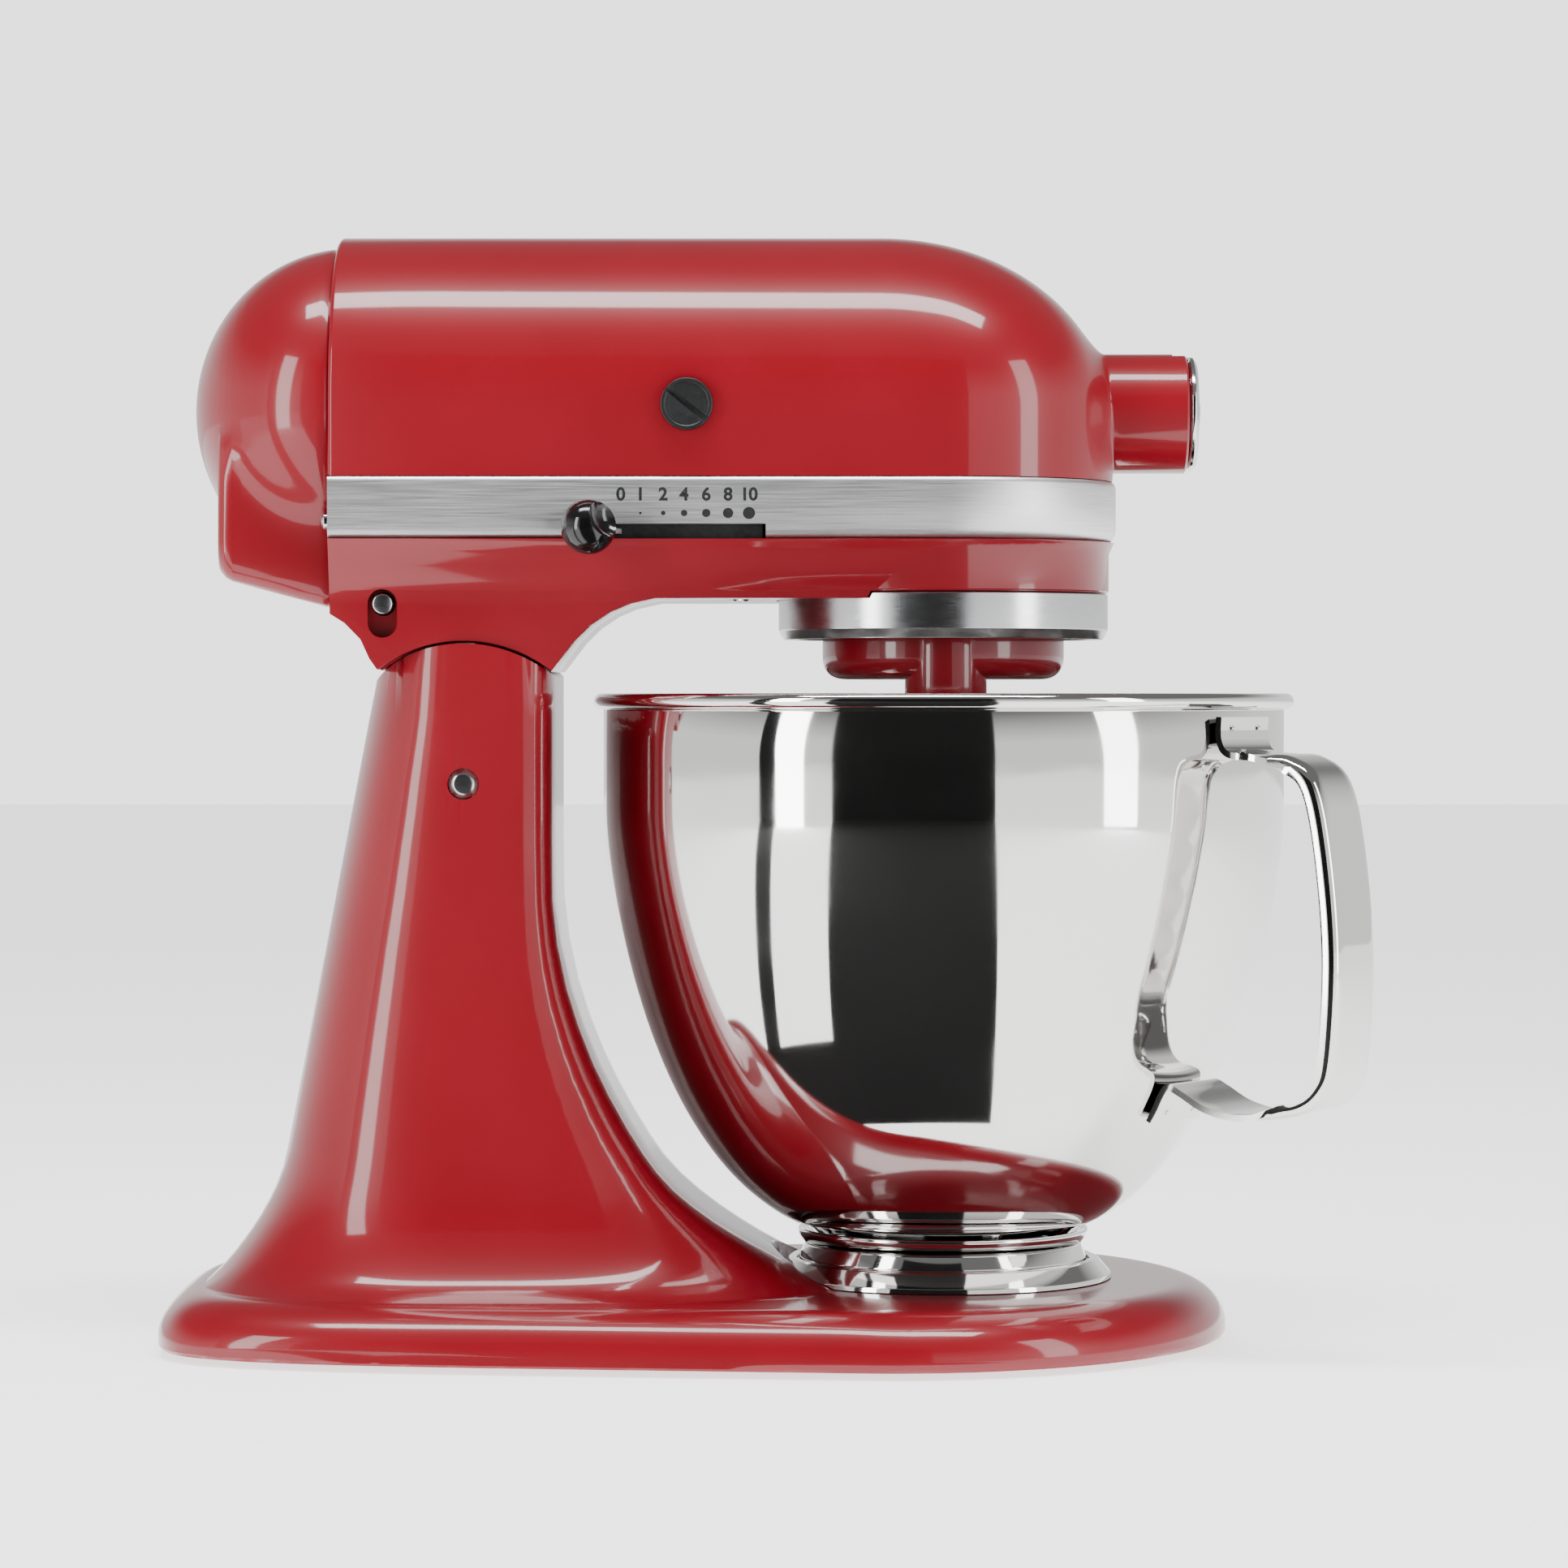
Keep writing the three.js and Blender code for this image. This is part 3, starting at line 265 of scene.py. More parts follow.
def side_slab(outline, y0, y1):
    """An outline of (x, z) points made solid between two places along Y."""
    return skin([[(x, y, z) for x, z in outline] for y in (y0, y1)])


def steps(start, end, count):
    return [start + (end - start) * i / count for i in range(count + 1)]


def arc(x, z, radius, start, end, count):
    angles = [math.radians(a) for a in steps(start, end, count)]
    return [(x + radius * math.cos(a), z + radius * math.sin(a)) for a in angles]


def soft_max(a, b, blend):
    """The larger of two lengths, with a fillet where they are nearly equal."""
    near = max(blend - abs(a - b), 0) / blend
    return max(a, b) + near * near * blend / 4


def soft_min(a, b, blend):
    return -soft_max(-a, -b, blend)


# ------------------------------------------------------------------ materials


def linear(code):
    """An sRGB hex colour as the linear colour that the shader wants."""
    parts = [int(code[i:i + 2], 16) / 255 for i in (1, 3, 5)]
    return [c / 12.92 if c <= 0.04045 else ((c + 0.055) / 1.055) ** 2.4 for c in parts] + [1]


def add_node(tree, kind, links=(), **settings):
    """Adds a node; links are (input, source socket) pairs, settings go to inputs or properties."""
    made = tree.nodes.new(kind)
    for key, value in settings.items():
        label = key.replace("_", " ").title()
        if hasattr(made, key):
            setattr(made, key, value)
        else:
            made.inputs[label].default_value = value
    for label, source in links:
        tree.links.new(source, made.inputs[label])
    return made


def surface(name, color, **settings):
    """A new material; its shader's sockets are set from the keywords."""
    made = bpy.data.materials.new(name)
    made.use_nodes = True
    shader = made.node_tree.nodes["Principled BSDF"]
    shader.inputs["Base Color"].default_value = linear(color)
    for key, value in settings.items():
        shader.inputs[key.replace("_", " ").title().replace("Ior", "IOR")].default_value = value
    made.diffuse_color = linear(color)
    return made, made.node_tree, shader


def ramp(tree, source, low_value, high_value, start=0.3, end=0.7):
    """Turns a pattern's 0 to 1 into a range of values."""
    made = add_node(tree, "ShaderNodeMapRange", [("Value", source)])
    limits = {"From Min": start, "From Max": end, "To Min": low_value, "To Max": high_value}
    for label, value in limits.items():
        made.inputs[label].default_value = value
    return made.outputs["Result"]


def pattern(tree, size_mm, stretch=(1, 1, 1), detail=2.0):
    """Noise whose grains are about size_mm wide, stretched along the axes."""
    place = add_node(tree, "ShaderNodeTexCoord")
    shaped = add_node(tree, "ShaderNodeMapping", [("Vector", place.outputs["Object"])], vector_type="POINT")
    shaped.inputs["Scale"].default_value = [1 / s for s in stretch]
    noise = add_node(tree, "ShaderNodeTexNoise", [("Vector", shaped.outputs["Vector"])])
    noise.inputs["Scale"].default_value = 1 / (size_mm * MM)
    noise.inputs["Detail"].default_value = detail
    return noise.outputs["Fac"]


def bump(tree, shader, height, depth_mm, strength=1.0):
    made = add_node(tree, "ShaderNodeBump", [("Height", height)])
    made.inputs["Distance"].default_value = depth_mm * MM
    made.inputs["Strength"].default_value = strength
    tree.links.new(made.outputs["Normal"], shader.inputs["Normal"])


def tint(tree, shader, source, one, two):
    """Lets the base colour drift between two shades with a pattern."""
    mix = add_node(tree, "ShaderNodeMix", [("Factor", source)], data_type="RGBA")
    mix.inputs[6].default_value, mix.inputs[7].default_value = linear(one), linear(two)
    tree.links.new(mix.outputs[2], shader.inputs["Base Color"])


def red_enamel():
    """Powder-primed enamel with a clear top coat on die-cast metal: deep gloss, faint orange peel."""
    made, tree, shader = surface(
        "red enamel", "#7b0716", roughness=0.34, metallic=0.0, specular_ior_level=0.2,
        coat_weight=0.7, coat_roughness=0.07, coat_ior=1.5)
    tint(tree, shader, ramp(tree, pattern(tree, 45), 0, 1), "#790615", "#7e0919")
    bump(tree, shader, pattern(tree, 2.2, detail=1), 0.004, 0.5)
    return made


def polished_steel():
    """Stainless sheet, spun and buffed to a mirror: faint round draw marks and hazier patches."""
    made, tree, shader = surface("polished stainless steel", "#dddcda", metallic=1.0, roughness=0.05)
    haze = ramp(tree, pattern(tree, 30), 0.035, 0.075)
    tree.links.new(haze, shader.inputs["Roughness"])
    bump(tree, shader, pattern(tree, 1.4, (30, 30, 1)), 0.0006, 0.3)
    return made


def brushed_steel():
    """Stainless strip brushed along its length: long fine scratches that stretch the highlights."""
    made, tree, shader = surface(
        "brushed stainless steel", "#dcdcde", metallic=1.0, roughness=0.38, anisotropic=0.6)
    scratches = pattern(tree, 0.35, (60, 60, 1), 4)
    tree.links.new(ramp(tree, scratches, 0.34, 0.44), shader.inputs["Roughness"])
    tint(tree, shader, ramp(tree, scratches, 0, 1, 0.35, 0.65), "#d6d6d8", "#e4e4e5")
    bump(tree, shader, scratches, 0.0025, 0.3)
    return made


def satin_steel():
    """Aluminium ring, turned and bead-blasted: soft even highlights."""
    made, tree, shader = surface("satin aluminium", "#c2c3c5", metallic=1.0, roughness=0.24)
    grain = pattern(tree, 0.5, (12, 12, 1), 3)
    tree.links.new(ramp(tree, grain, 0.19, 0.25), shader.inputs["Roughness"])
    bump(tree, shader, grain, 0.0012, 0.3)
    return made


def chrome():
    """Nickel and chrome plate on turned steel: near-mirror with soft wear at the roughest spots."""
    made, tree, shader = surface("chrome plate", "#d8d9da", metallic=1.0, roughness=0.09)
    tree.links.new(ramp(tree, pattern(tree, 4), 0.06, 0.13), shader.inputs["Roughness"])
    return made


def black_plastic():
    """Moulded phenolic, polished: black with a clear gloss and faint moulding ripple."""
    made, tree, shader = surface("black phenolic", "#0b0b0c", roughness=0.12, ior=1.55)
    tree.links.new(ramp(tree, pattern(tree, 3), 0.09, 0.17), shader.inputs["Roughness"])
    bump(tree, shader, pattern(tree, 5), 0.01, 0.3)
    return made


def satin_black():
    """Moulded thermoplastic with a fine spark-eroded grain: dark grey-black, soft sheen."""
    made, tree, shader = surface("grained black plastic", "#161718", roughness=0.4, ior=1.5)
    bump(tree, shader, pattern(tree, 0.5), 0.02, 0.5)
    tree.links.new(ramp(tree, pattern(tree, 0.9), 0.34, 0.5), shader.inputs["Roughness"])
    return made


def rubber():
    """Moulded nitrile rubber: matte, with dust in its pores."""
    made, tree, shader = surface("black rubber", "#1a1a1b", roughness=0.8, ior=1.5)
    tint(tree, shader, ramp(tree, pattern(tree, 2), 0, 1), "#161617", "#232324")
    bump(tree, shader, pattern(tree, 0.4), 0.03, 0.6)
    return made


def grey_ink():
    """Pad-printed ink on metal: flat charcoal with slightly uneven cover."""
    made, tree, shader = surface("charcoal print", "#202124", roughness=0.7, specular_ior_level=0.2)
    tint(tree, shader, ramp(tree, pattern(tree, 1), 0, 1), "#1d1e20", "#26272a")
    return made


def machined(name, color, color_two, roughness):
    """Metal turned or milled and left bare: fine tool rings and a slightly oily, uneven sheen."""
    made, tree, shader = surface(name, color, metallic=1.0, roughness=roughness)
    marks = pattern(tree, 0.4, (8, 8, 1), 3)
    tree.links.new(ramp(tree, marks, roughness * 0.8, roughness * 1.25), shader.inputs["Roughness"])
    tint(tree, shader, ramp(tree, pattern(tree, 9), 0, 1), color, color_two)
    bump(tree, shader, marks, 0.006, 0.4)
    return made


def dull(name, color, color_two, grain_mm):
    """Pressed or coated surface with no shine: fine grain and slight mottling."""
    made, tree, shader = surface(name, color, roughness=0.6, ior=1.5)
    tint(tree, shader, ramp(tree, pattern(tree, grain_mm * 6), 0, 1), color, color_two)
    bump(tree, shader, pattern(tree, grain_mm), 0.02, 0.4)
    return made


RED = red_enamel()
MIRROR = polished_steel()
BRUSHED = brushed_steel()
SATIN = satin_steel()
CHROME = chrome()
GLOSS_BLACK = black_plastic()
SATIN_BLACK = satin_black()
RUBBER = rubber()
INK = grey_ink()
CAD_LOOKS = {
    "red_enamel": RED, "polished_steel": MIRROR, "brushed_steel": BRUSHED, "satin_metal": SATIN,
    "black_plastic": SATIN_BLACK, "rubber": RUBBER,
    "cast_iron": machined("cast iron", "#6b6d70", "#57595c", 0.5),
    "gear_steel": machined("machined steel", "#a8aaad", "#96989b", 0.3),
    "copper": machined("commutator copper", "#b8734a", "#a5643e", 0.3),
    "bronze": machined("bearing bronze", "#b39a5e", "#a08850", 0.35),
    "carbon": dull("pressed carbon", "#242427", "#303034", 0.4),
    "board": dull("circuit board laminate", "#24503a", "#2c5c43", 0.6),
    "white_coating": dull("white nylon coating", "#e2e2de", "#d9d9d4", 0.8),
}
for part in frame["record"]["subparts"]:
    node = frame["nodes"][part["node"]]
    node.data.materials.clear()
    node.data.materials.append(CAD_LOOKS[part["material_slot"]])

# ------------------------------------------------------------------ stand

COLUMN_X = -150
COLUMN_TOP = PIN_Z + 36
BELLY_Z = 150  # the column widens below this height
FLARE_Z = 60  # its front and back flare out below this one
SIDE_FLARE_Z = 50  # and its sides below this one


def base_radius(angle, inset):
    """Distance from the column's centre line to the base's outline in one direction."""
    wide, front, back, wide_x, taper = 110 - inset, 111 - inset, 228.6 - inset, -20, 0.1
    near, far = 0.0, 400.0
    for _ in range(30):
        r = (near + far) / 2
        x, y = COLUMN_X + r * math.cos(angle) - wide_x, abs(r * math.sin(angle))
        if x >= 0:
            inside = (x / front) ** 2 + (y / wide) ** 2 < 1
        else:
            inside = (-x / back) ** 6 + (y / max(wide + x * taper, 1)) ** 6 < 1
        near, far = (r, far) if inside else (near, r)
    return near


def column_radius(angle, z):
    """Distance from the column's centre line to its side at a height, in one direction."""
    sunk, flare = max(0, BELLY_Z - z), max(0, FLARE_Z - z)
    front = -123.5 + 0.00373 * sunk ** 2 + 0.016 * flare ** 2 - COLUMN_X
    back = COLUMN_X + 181.4 + 0.193 * (COLUMN_TOP - z) + 0.0175 * flare ** 1.85
    half = 49 + 0.0008 * sunk ** 2 + 0.012 * max(0, SIDE_FLARE_Z - z) ** 2
    squareness = max(3.2, 6.5 - flare * 0.06 - sunk * 0.012)
    reach, power = (front, squareness) if math.cos(angle) >= 0 else (back, 2.5)
    along = abs(math.cos(angle)) / reach
    across = abs(math.sin(angle)) / half
    return (along ** power + across ** power) ** (-1 / power)


def lock_channel():
    """The space that the lock's cam sweeps, in the neck and in the crown of the column."""
    sweep = [(-4.9, 4.9), (-4.9, -25.9)] + arc(0, 0, 26.4, -100.5, -4.5, 20) + [(-3.5, 6)]
    return side_slab([(LOCK_X + x, LOCK_Z + z) for x, z in sweep], 21.2, 30.8)


def stand_casting():
    """Base and column in one casting: a rounded deck that flows up into the column, slotted for the hinge."""
    edge_low, edge_z, deck_round = 2.2, 5.0, 16.0
    angles = [2 * math.pi * i / 200 for i in range(200)]
    outline = {inset: [base_radius(a, inset) for a in angles] for inset in (0, 1.0, deck_round)}

    def ring(radii, z):
        return [(COLUMN_X + r * math.cos(a), r * math.sin(a), z) for r, a in zip(radii, angles)]

    full, deck = outline[0], outline[deck_round]

    def flowing(plate, column, limit):
        """The plate's outline, swelling where the column comes close, but never past the rim."""
        extra, room = soft_max(plate, column, 14) - plate, limit - plate
        return plate + extra * room / max(extra + room, 0.001)

    rings = [ring([r - 14 for r in full], edge_low), ring(outline[1.0], edge_low)]
    rings += [ring(full, edge_low + 1.2), ring(full, edge_z)]
    for lift in steps(6, 90, 14):
        share = 1 - math.cos(math.radians(lift))
        z = edge_z + (DECK_Z - edge_z) * math.sin(math.radians(lift))
        plate = [f + (d - f) * share for f, d in zip(full, deck)]
        swollen = [flowing(p, column_radius(a, z), f) for p, a, f in zip(plate, angles, full)]
        rings.append(ring(swollen, z))
    fillet_high = 6
    foot = [column_radius(a, DECK_Z) for a in angles]
    edge = [flowing(d, c, f) for d, c, f in zip(deck, foot, full)]
    toe = [min(e - c, 3.5) for e, c in zip(edge, foot)]
    for share in steps(0.1, 1, 9):
        inward = [e + (c + t - e) * share for e, c, t in zip(edge, foot, toe)]
        rings.append(ring(inward, DECK_Z + 0.01 * share))
    heights = [DECK_Z + fillet_high * h for h in (0.05, 0.15, 0.28, 0.45, 0.7, 1)]
    heights += [28, 32, 36, 40, 45, 50, 56, 62, 70, 80, 90, 102, 114, 128, 142, 160, 180, 200, 230]
    for z in heights:
        fade = max(0, 1 - (z - DECK_Z) / fillet_high) ** 2
        rings.append(ring([column_radius(a, z) + t * fade for a, t in zip(angles, toe)], z))
    casting = skin(rings)
    arc_r, half = 44, 15.5
    crown = arc(PIN_X, PIN_Z, arc_r, -20, 200, 90)
    crown += [(-400, PIN_Z - 60), (-400, -50), (200, -50), (200, PIN_Z - 60)]
    carve(casting, side_slab(crown, -130, 130), operation="INTERSECT")
    sector = side_slab([(PIN_X, PIN_Z)] + arc(PIN_X, PIN_Z, 60, 54, 139, 30), -half, half)
    carve(casting, sector, lock_channel(),
          rod("y", 20.8, -half, half, PIN_X, PIN_Z, 64),
          rod("z", 55.4, DECK_Z + 0.02, DECK_Z + 60, 0, 0, 128))
    carve(casting, rod("y", 4.9, -60, 60, PIN_X, PIN_Z))
    soften(casting, 1.2, 3, 40)
    finish_piece(casting, "stand_casting", "stand", RED, "base_pedestal", slot="red_enamel", angle=50)


stand_casting()

# ------------------------------------------------------------------ head


def shell_radius(x, angle):
    """Distance from the motor axis to the painted shell in one direction of its section."""
    up, side = math.sin(angle), abs(math.cos(angle))
    nose = max(0.0, x)
    half = math.sqrt(max(HEAD_HALF ** 2 - nose ** 2, 0.01))
    fall = min(max(0.0, x - NOSE_BACK) / NOSE_REACH, 1)
    rise = CROWN * math.sqrt(max(1 - fall ** 2, 0.0001))
    if up >= 0:
        body = 1 / math.sqrt((side / half) ** 2 + (up / rise) ** 2)
    else:
        body = min(half / max(side, 1e-6), 400)
    if x >= HEAD_HALF - 0.4:
        body = 0
    whole = soft_max(body, HUB_R, 9) if x > 30 else body
    if up < 0:
        whole = min(whole, (MOTOR_Z - SHELL_FOOT) / -up)
    return whole


def shell_ring(x, radius_of, grow=0.0):
    """One section round the motor axis, with a point at each lower corner."""
    depth = MOTOR_Z - SHELL_FOOT
    half = math.sqrt(max(HEAD_HALF ** 2 - max(0.0, x) ** 2, 0.01))
    corner = math.degrees(math.atan2(depth, half))
    degrees = steps(-corner, 0, 10)[:-1] + steps(0, 180, 80)[:-1]
    degrees += steps(180, 180 + corner, 10)[:-1]
    degrees += steps(180 + corner, 360 - corner, 20)[:-1]
    ring = []
    for a in map(math.radians, degrees):
        r = radius_of(x, a) + grow
        ring.append((x, r * math.cos(a), MOTOR_Z + r * math.sin(a)))
    return ring


def head_upper():
    """Motor shell: one long skin that rounds off at the nose and runs out into the hub and its bore."""
    tip = HEAD_HALF - 0.4
    nose = [NOSE_BACK + (tip - NOSE_BACK) * math.sin(math.radians(t)) for t in steps(0, 90, 44)]
    body_x = [SEAM_X, SEAM_X + 0.6, SEAM_X + 1.4, -150, -110, -82, -60, -40, -28] + nose
    rings = []
    for x in body_x:
        edge = {SEAM_X: -1.2, SEAM_X + 0.6: -0.35}.get(x, 0)
        rings.append(shell_ring(x, shell_radius, grow=edge))
    rings += [shell_ring(x, shell_radius) for x in (tip + 0.5, tip + 2, 60, 68, HUB_FACE - 0.7)]
    rings.append(shell_ring(HUB_FACE, shell_radius, grow=-0.7))
    rings.append(shell_ring(HUB_FACE, lambda x, a: HUB_BORE + 0.5))
    rings.append(shell_ring(HUB_FACE - 0.6, lambda x, a: HUB_BORE))
    rings.append(shell_ring(54.6, lambda x, a: HUB_BORE))
    shell = skin(rings)
    cover_notch = block((HUB_FACE - 4.6, HUB_FACE + 1), (-5.6, 5.6), (MOTOR_Z + 14.6, MOTOR_Z + HUB_R + 1))
    carve(shell, cover_notch)
    finish_piece(shell, "head_upper_shell", "head", RED, "head_shell", slot="red_enamel", angle=40)


head_upper()


def dome_radius(x, angle):
    """Distance from the motor axis to the rear cover: a round dome that flows into a lower box."""
    round_half, reach, start = HEAD_HALF - 1.5, 50, SEAM_X + 3.2
    share = min(abs(x - start) / reach, 1)
    dome = round_half * math.sqrt(max(1 - share ** 2, 0.0001))
    up, side = math.sin(angle), math.cos(angle)
    if up >= -0.12 or x < -229.9:
        return dome
    floor = MOTOR_Z - (UNDER_Z - 3 + max(0, SEAM_X - 0.5 - x) * 0.27)
    box = soft_min(floor / -up, 38 / max(abs(side), 1e-6), 12)
    fade = min((-up - 0.12) / 0.25, 1)
    return dome + (soft_max(dome, box, 8) - dome) * fade * fade * (3 - 2 * fade)


def rear_dome():
    """Rear cover in rings from the seam back, with a soft edge round the back of its lower box."""
    last = SEAM_X - 0.3
    back = low("rear_cover", "x")
    reach = last - back
    xs = [last - reach * math.sin(math.radians(t)) for t in steps(0, 89.3, 40)]
    xs = sorted(set(xs + [-222, -225, -227.5, -229, -229.7, -230.0]), reverse=True)
    rings = []
    for x in xs:
        grow = -0.8 if x == last else 0
        squeeze = max(0, (-225 - x) / 5)
        ring = []
        for i in range(128):
            a = 2 * math.pi * (i + 0.5) / 128
            r = dome_radius(x, a)
            if squeeze > 0 and x >= -230.0 and math.sin(a) < -0.05:
                share = min(abs(x - (SEAM_X + 3.2)) / 50, 1)
                dome = (HEAD_HALF - 1.5) * math.sqrt(max(1 - share ** 2, 0.0001))
                r = max(dome, r - 5 * (1 - math.sqrt(max(1 - squeeze ** 2, 0))))
            ring.append((x, (r + grow) * math.cos(a), MOTOR_Z + (r + grow) * math.sin(a)))
        rings.append(ring)
    cover = skin(rings)
    finish_piece(cover, "rear_dome", "head", RED, "rear_cover", slot="red_enamel", angle=45)


rear_dome()

# ------------------------------------------------------------------ gear case


def head_plan(z, half, back_x, count=48):
    """Plan of the lower head: straight sides with a half-round nose."""
    nose = [(x, y, z) for x, y in arc(0, 0, half, -90, 90, count)]
    return [(back_x, -half, z)] + nose + [(back_x, half, z)]


def gear_case():
    """The lower half of the head: chamfered sides that run back into the hinge neck, and a round skirt."""
    top, neck_half, neck_r = SHELL_FOOT - 0.4, 47.5, 44.9
    levels = [(0, 55), (1.2, 54.3), (3.5, 53), (8.5, 51.5), (13, 49.6), (16, 48.3), (18, 47.8)]
    levels += [(20, neck_half), (70, neck_half)]
    sides = [head_plan(top, 51.5, SEAM_X), head_plan(BAND_LOW - 0.3, 51.5, SEAM_X)]
    sides += [head_plan(BAND_LOW - 0.3 - drop, half, SEAM_X) for drop, half in levels]
    case = skin(sides)
    back = [(SEAM_X + x, UNDER_Z + z) for x, z in ((-1, -4.3), (4.6, -7.8), (9.6, -12.9), (12.4, -19))]
    front = [(-116.8, -13.3), (-111.7, -8.3), (-105.7, -4.3), (-99.7, -1.8), (-91.7, 0)]
    under = [(x, UNDER_Z + z) for x, z in front]
    outline = [(SEAM_X - 1, 400)] + back
    outline += arc(PIN_X, PIN_Z, neck_r, 127, 52, 24) + under + [(70, UNDER_Z), (70, 400)]
    carve(case, side_slab(outline, -80, 80), operation="INTERSECT")
    skirt_half = 53.3
    round_skirt = [(0, SKIRT_Z), (skirt_half - 0.6, SKIRT_Z), (skirt_half, SKIRT_Z + 0.6),
                   (skirt_half, BAND_LOW - 3.8), (54.8, BAND_LOW - 0.5), (0, BAND_LOW - 0.5)]
    carve(case, turned(round_skirt, steps=128), operation="UNION")
    soften(case, 1.4, 3, 28)
    seal_r, tongue_half = 44.3, 14.9
    seal = arc(PIN_X, PIN_Z, seal_r, 52.5, 126.5, 40) + arc(PIN_X, PIN_Z, 48, 126.5, 52.5, 40)
    tongue = side_slab([(PIN_X, PIN_Z)] + arc(PIN_X, PIN_Z, 49, 57, 88, 16), -tongue_half, tongue_half)
    lug = rod("y", 20, -tongue_half, tongue_half, PIN_X, PIN_Z, 64)
    carve(case, side_slab(seal, -38, 38), tongue, lug, operation="UNION")
    pocket = arc(LOCK_X, LOCK_Z, 4.6, 0, 180, 14) + arc(LOCK_X, LOCK_Z - 6, 4.6, 180, 360, 14)
    drive_bay = [(0, 200), (54, 200), (54, SKIRT_Z), (53.6, SKIRT_Z), (48, SKIRT_Z - 0.1),
                 (47.9, 246), (0, 246)]
    carve(case, side_slab(pocket, -60, -41.5), lock_channel(),
          rod("y", 3.7, -43, 60, LOCK_X, LOCK_Z),
          rod("y", 4.6, -20, 20, PIN_X, PIN_Z),
          turned(drive_bay, steps=128),
          block((SLOT_BACK, SLOT_FRONT), (-60, -40), (BAND_LOW - 0.2, BAND_LOW + 6)),
          rod("z", 4.2, UNDER_Z - 2, UNDER_Z + 5, -65, -22, 40))
    finish_piece(case, "gear_case", "head", RED, "gearcase", slot="red_enamel", angle=32)


gear_case()

# ------------------------------------------------------------------ band, scale and speed control


def trim_band():
    """Brushed strip bent round the lower edge of the head, with bevelled edges and the lever's slot."""
    thick = 3.4
    outside = [(BAND_LOW, -1.8), (BAND_LOW + 0.4, -1.3), (BAND_LOW + 3, 0),
               (BAND_HIGH - 1.6, 0), (BAND_HIGH - 0.3, -0.6), (BAND_HIGH, -1)]
    band = skin([head_plan(z, BAND_HALF + grow, SEAM_X) for z, grow in outside])
    carve(band, skin([head_plan(z, BAND_HALF - thick, SEAM_X - 5) for z in (BAND_LOW - 2, BAND_HIGH + 2)]))
    slot_top = BAND_LOW + 4.3
    carve(band, block((SLOT_BACK, SLOT_FRONT), (-70, -30), (BAND_LOW - 3, slot_top)))
    finish_piece(band, "trim_strip", "head", BRUSHED, "trim_band", slot="brushed_steel", angle=30)
    # Painted shade: a thin black sheet just inside the strip, behind the lever's slot, stands in for the dark
    # inside of the slot.
    painted_shade_block = block((SLOT_BACK + 1, SLOT_FRONT - 1), (-50.5, -49.5), (BAND_LOW, slot_top + 1))
    finish_piece(painted_shade_block, "slot_shade_sheet", "head", RUBBER, slot="black_plastic")


def scale_marks():
    """Speed numbers over dots that grow, printed on the strip."""
    places = [(0, -102.1), (1, -96), (2, -88.9), (4, -82.4), (6, -75.5), (8, -68.7), (10, -62.2)]
    face_y, number_z, dot_z = -BAND_HALF - 0.03, 267.4, 263.4
    marks = []
    for i, (number, x) in enumerate(places):
        bpy.ops.object.text_add()
        label = bpy.context.object
        label.data.body = str(number)
        label.data.align_x = "CENTER"
        label.data.size = 5.6 * MM
        label.data.space_character = 0.95
        label.data.extrude = 0.01 * MM
        label.data.offset = 0.17 * MM
        activate(label)
        bpy.ops.object.convert(target="MESH")
        turn(label, "X", 90)
        marks.append(shift(label, x, face_y, number_z))
        if i:
            radius = 0.4 + 1.5 * (i - 1) / 5
            marks.append(rod("y", radius, face_y - 0.02, face_y + 0.3, x, dot_z, 32))
    deselect()
    for mark in marks:
        mark.select_set(True)
    bpy.context.view_layer.objects.active = marks[0]
    bpy.ops.object.join()
    finish_piece(bpy.context.object, "speed_numbers", "head", INK, slot="black_plastic", angle=0)


trim_band()
scale_marks()


def speed_ball():
    """Ball grip on the lever, with a scooped thumb rest."""
    ball_r, scoop_r = 8.6, 9
    x, y, z = -111.8, -64.9, BAND_LOW + 3.0
    bpy.ops.mesh.primitive_uv_sphere_add(segments=64, ring_count=40, radius=ball_r * MM)
    ball = shift(bpy.context.object, x, y, z)
    bpy.ops.mesh.primitive_uv_sphere_add(segments=64, ring_count=40, radius=scoop_r * MM)
    scoop = shift(bpy.context.object, x + 9.5, y - 8.0, z + 4.6)
    carve(ball, scoop)
    soften(ball, 0.5, 3, 40)
    finish_piece(ball, "speed_ball", "speed_control", GLOSS_BLACK, "speed_knob", slot="black_plastic",
                 angle=40)


speed_ball()


def brush_caps():
    """Screw-in plastic caps over the motor brushes, each with a coin slot."""
    for side, node in ((-1, "brush_cap_left"), (1, "brush_cap_right")):
        x = centre(node)[0]
        face = 57.8
        cap = turned(rounded([
            (0, 0, 0), (8.1, 0, 0), (8.1, 2.2, 0), (8.1, 3.0, 0.8), (7.0, 3.0, 0), (6.7, 2.6, 0),
            (0, 2.6, 0)]))
        carve(cap, turn(block((-9, 9), (-0.95, 0.95), (1.4, 4)), "Z", 40 * side))
        soften(cap, 0.12, 2, 40)
        turn(cap, "X", -90 * side)
        shift(cap, x, side * (face - 3.0), MOTOR_Z)
        where = node.split("_")[-1]
        finish_piece(cap, "brush_screw_" + where, "head", SATIN_BLACK, node, slot="black_plastic")
        seat = turned([(8.2, 0.0), (8.9, 0.0), (8.9, 0.35), (8.2, 0.35)], closed=True)
        turn(seat, "X", -90 * side)
        shift(seat, x, side * (HEAD_HALF - 0.25), MOTOR_Z)
        finish_piece(seat, "brush_seat_" + where, "head", RED, slot="red_enamel")


brush_caps()

# ------------------------------------------------------------------ planetary


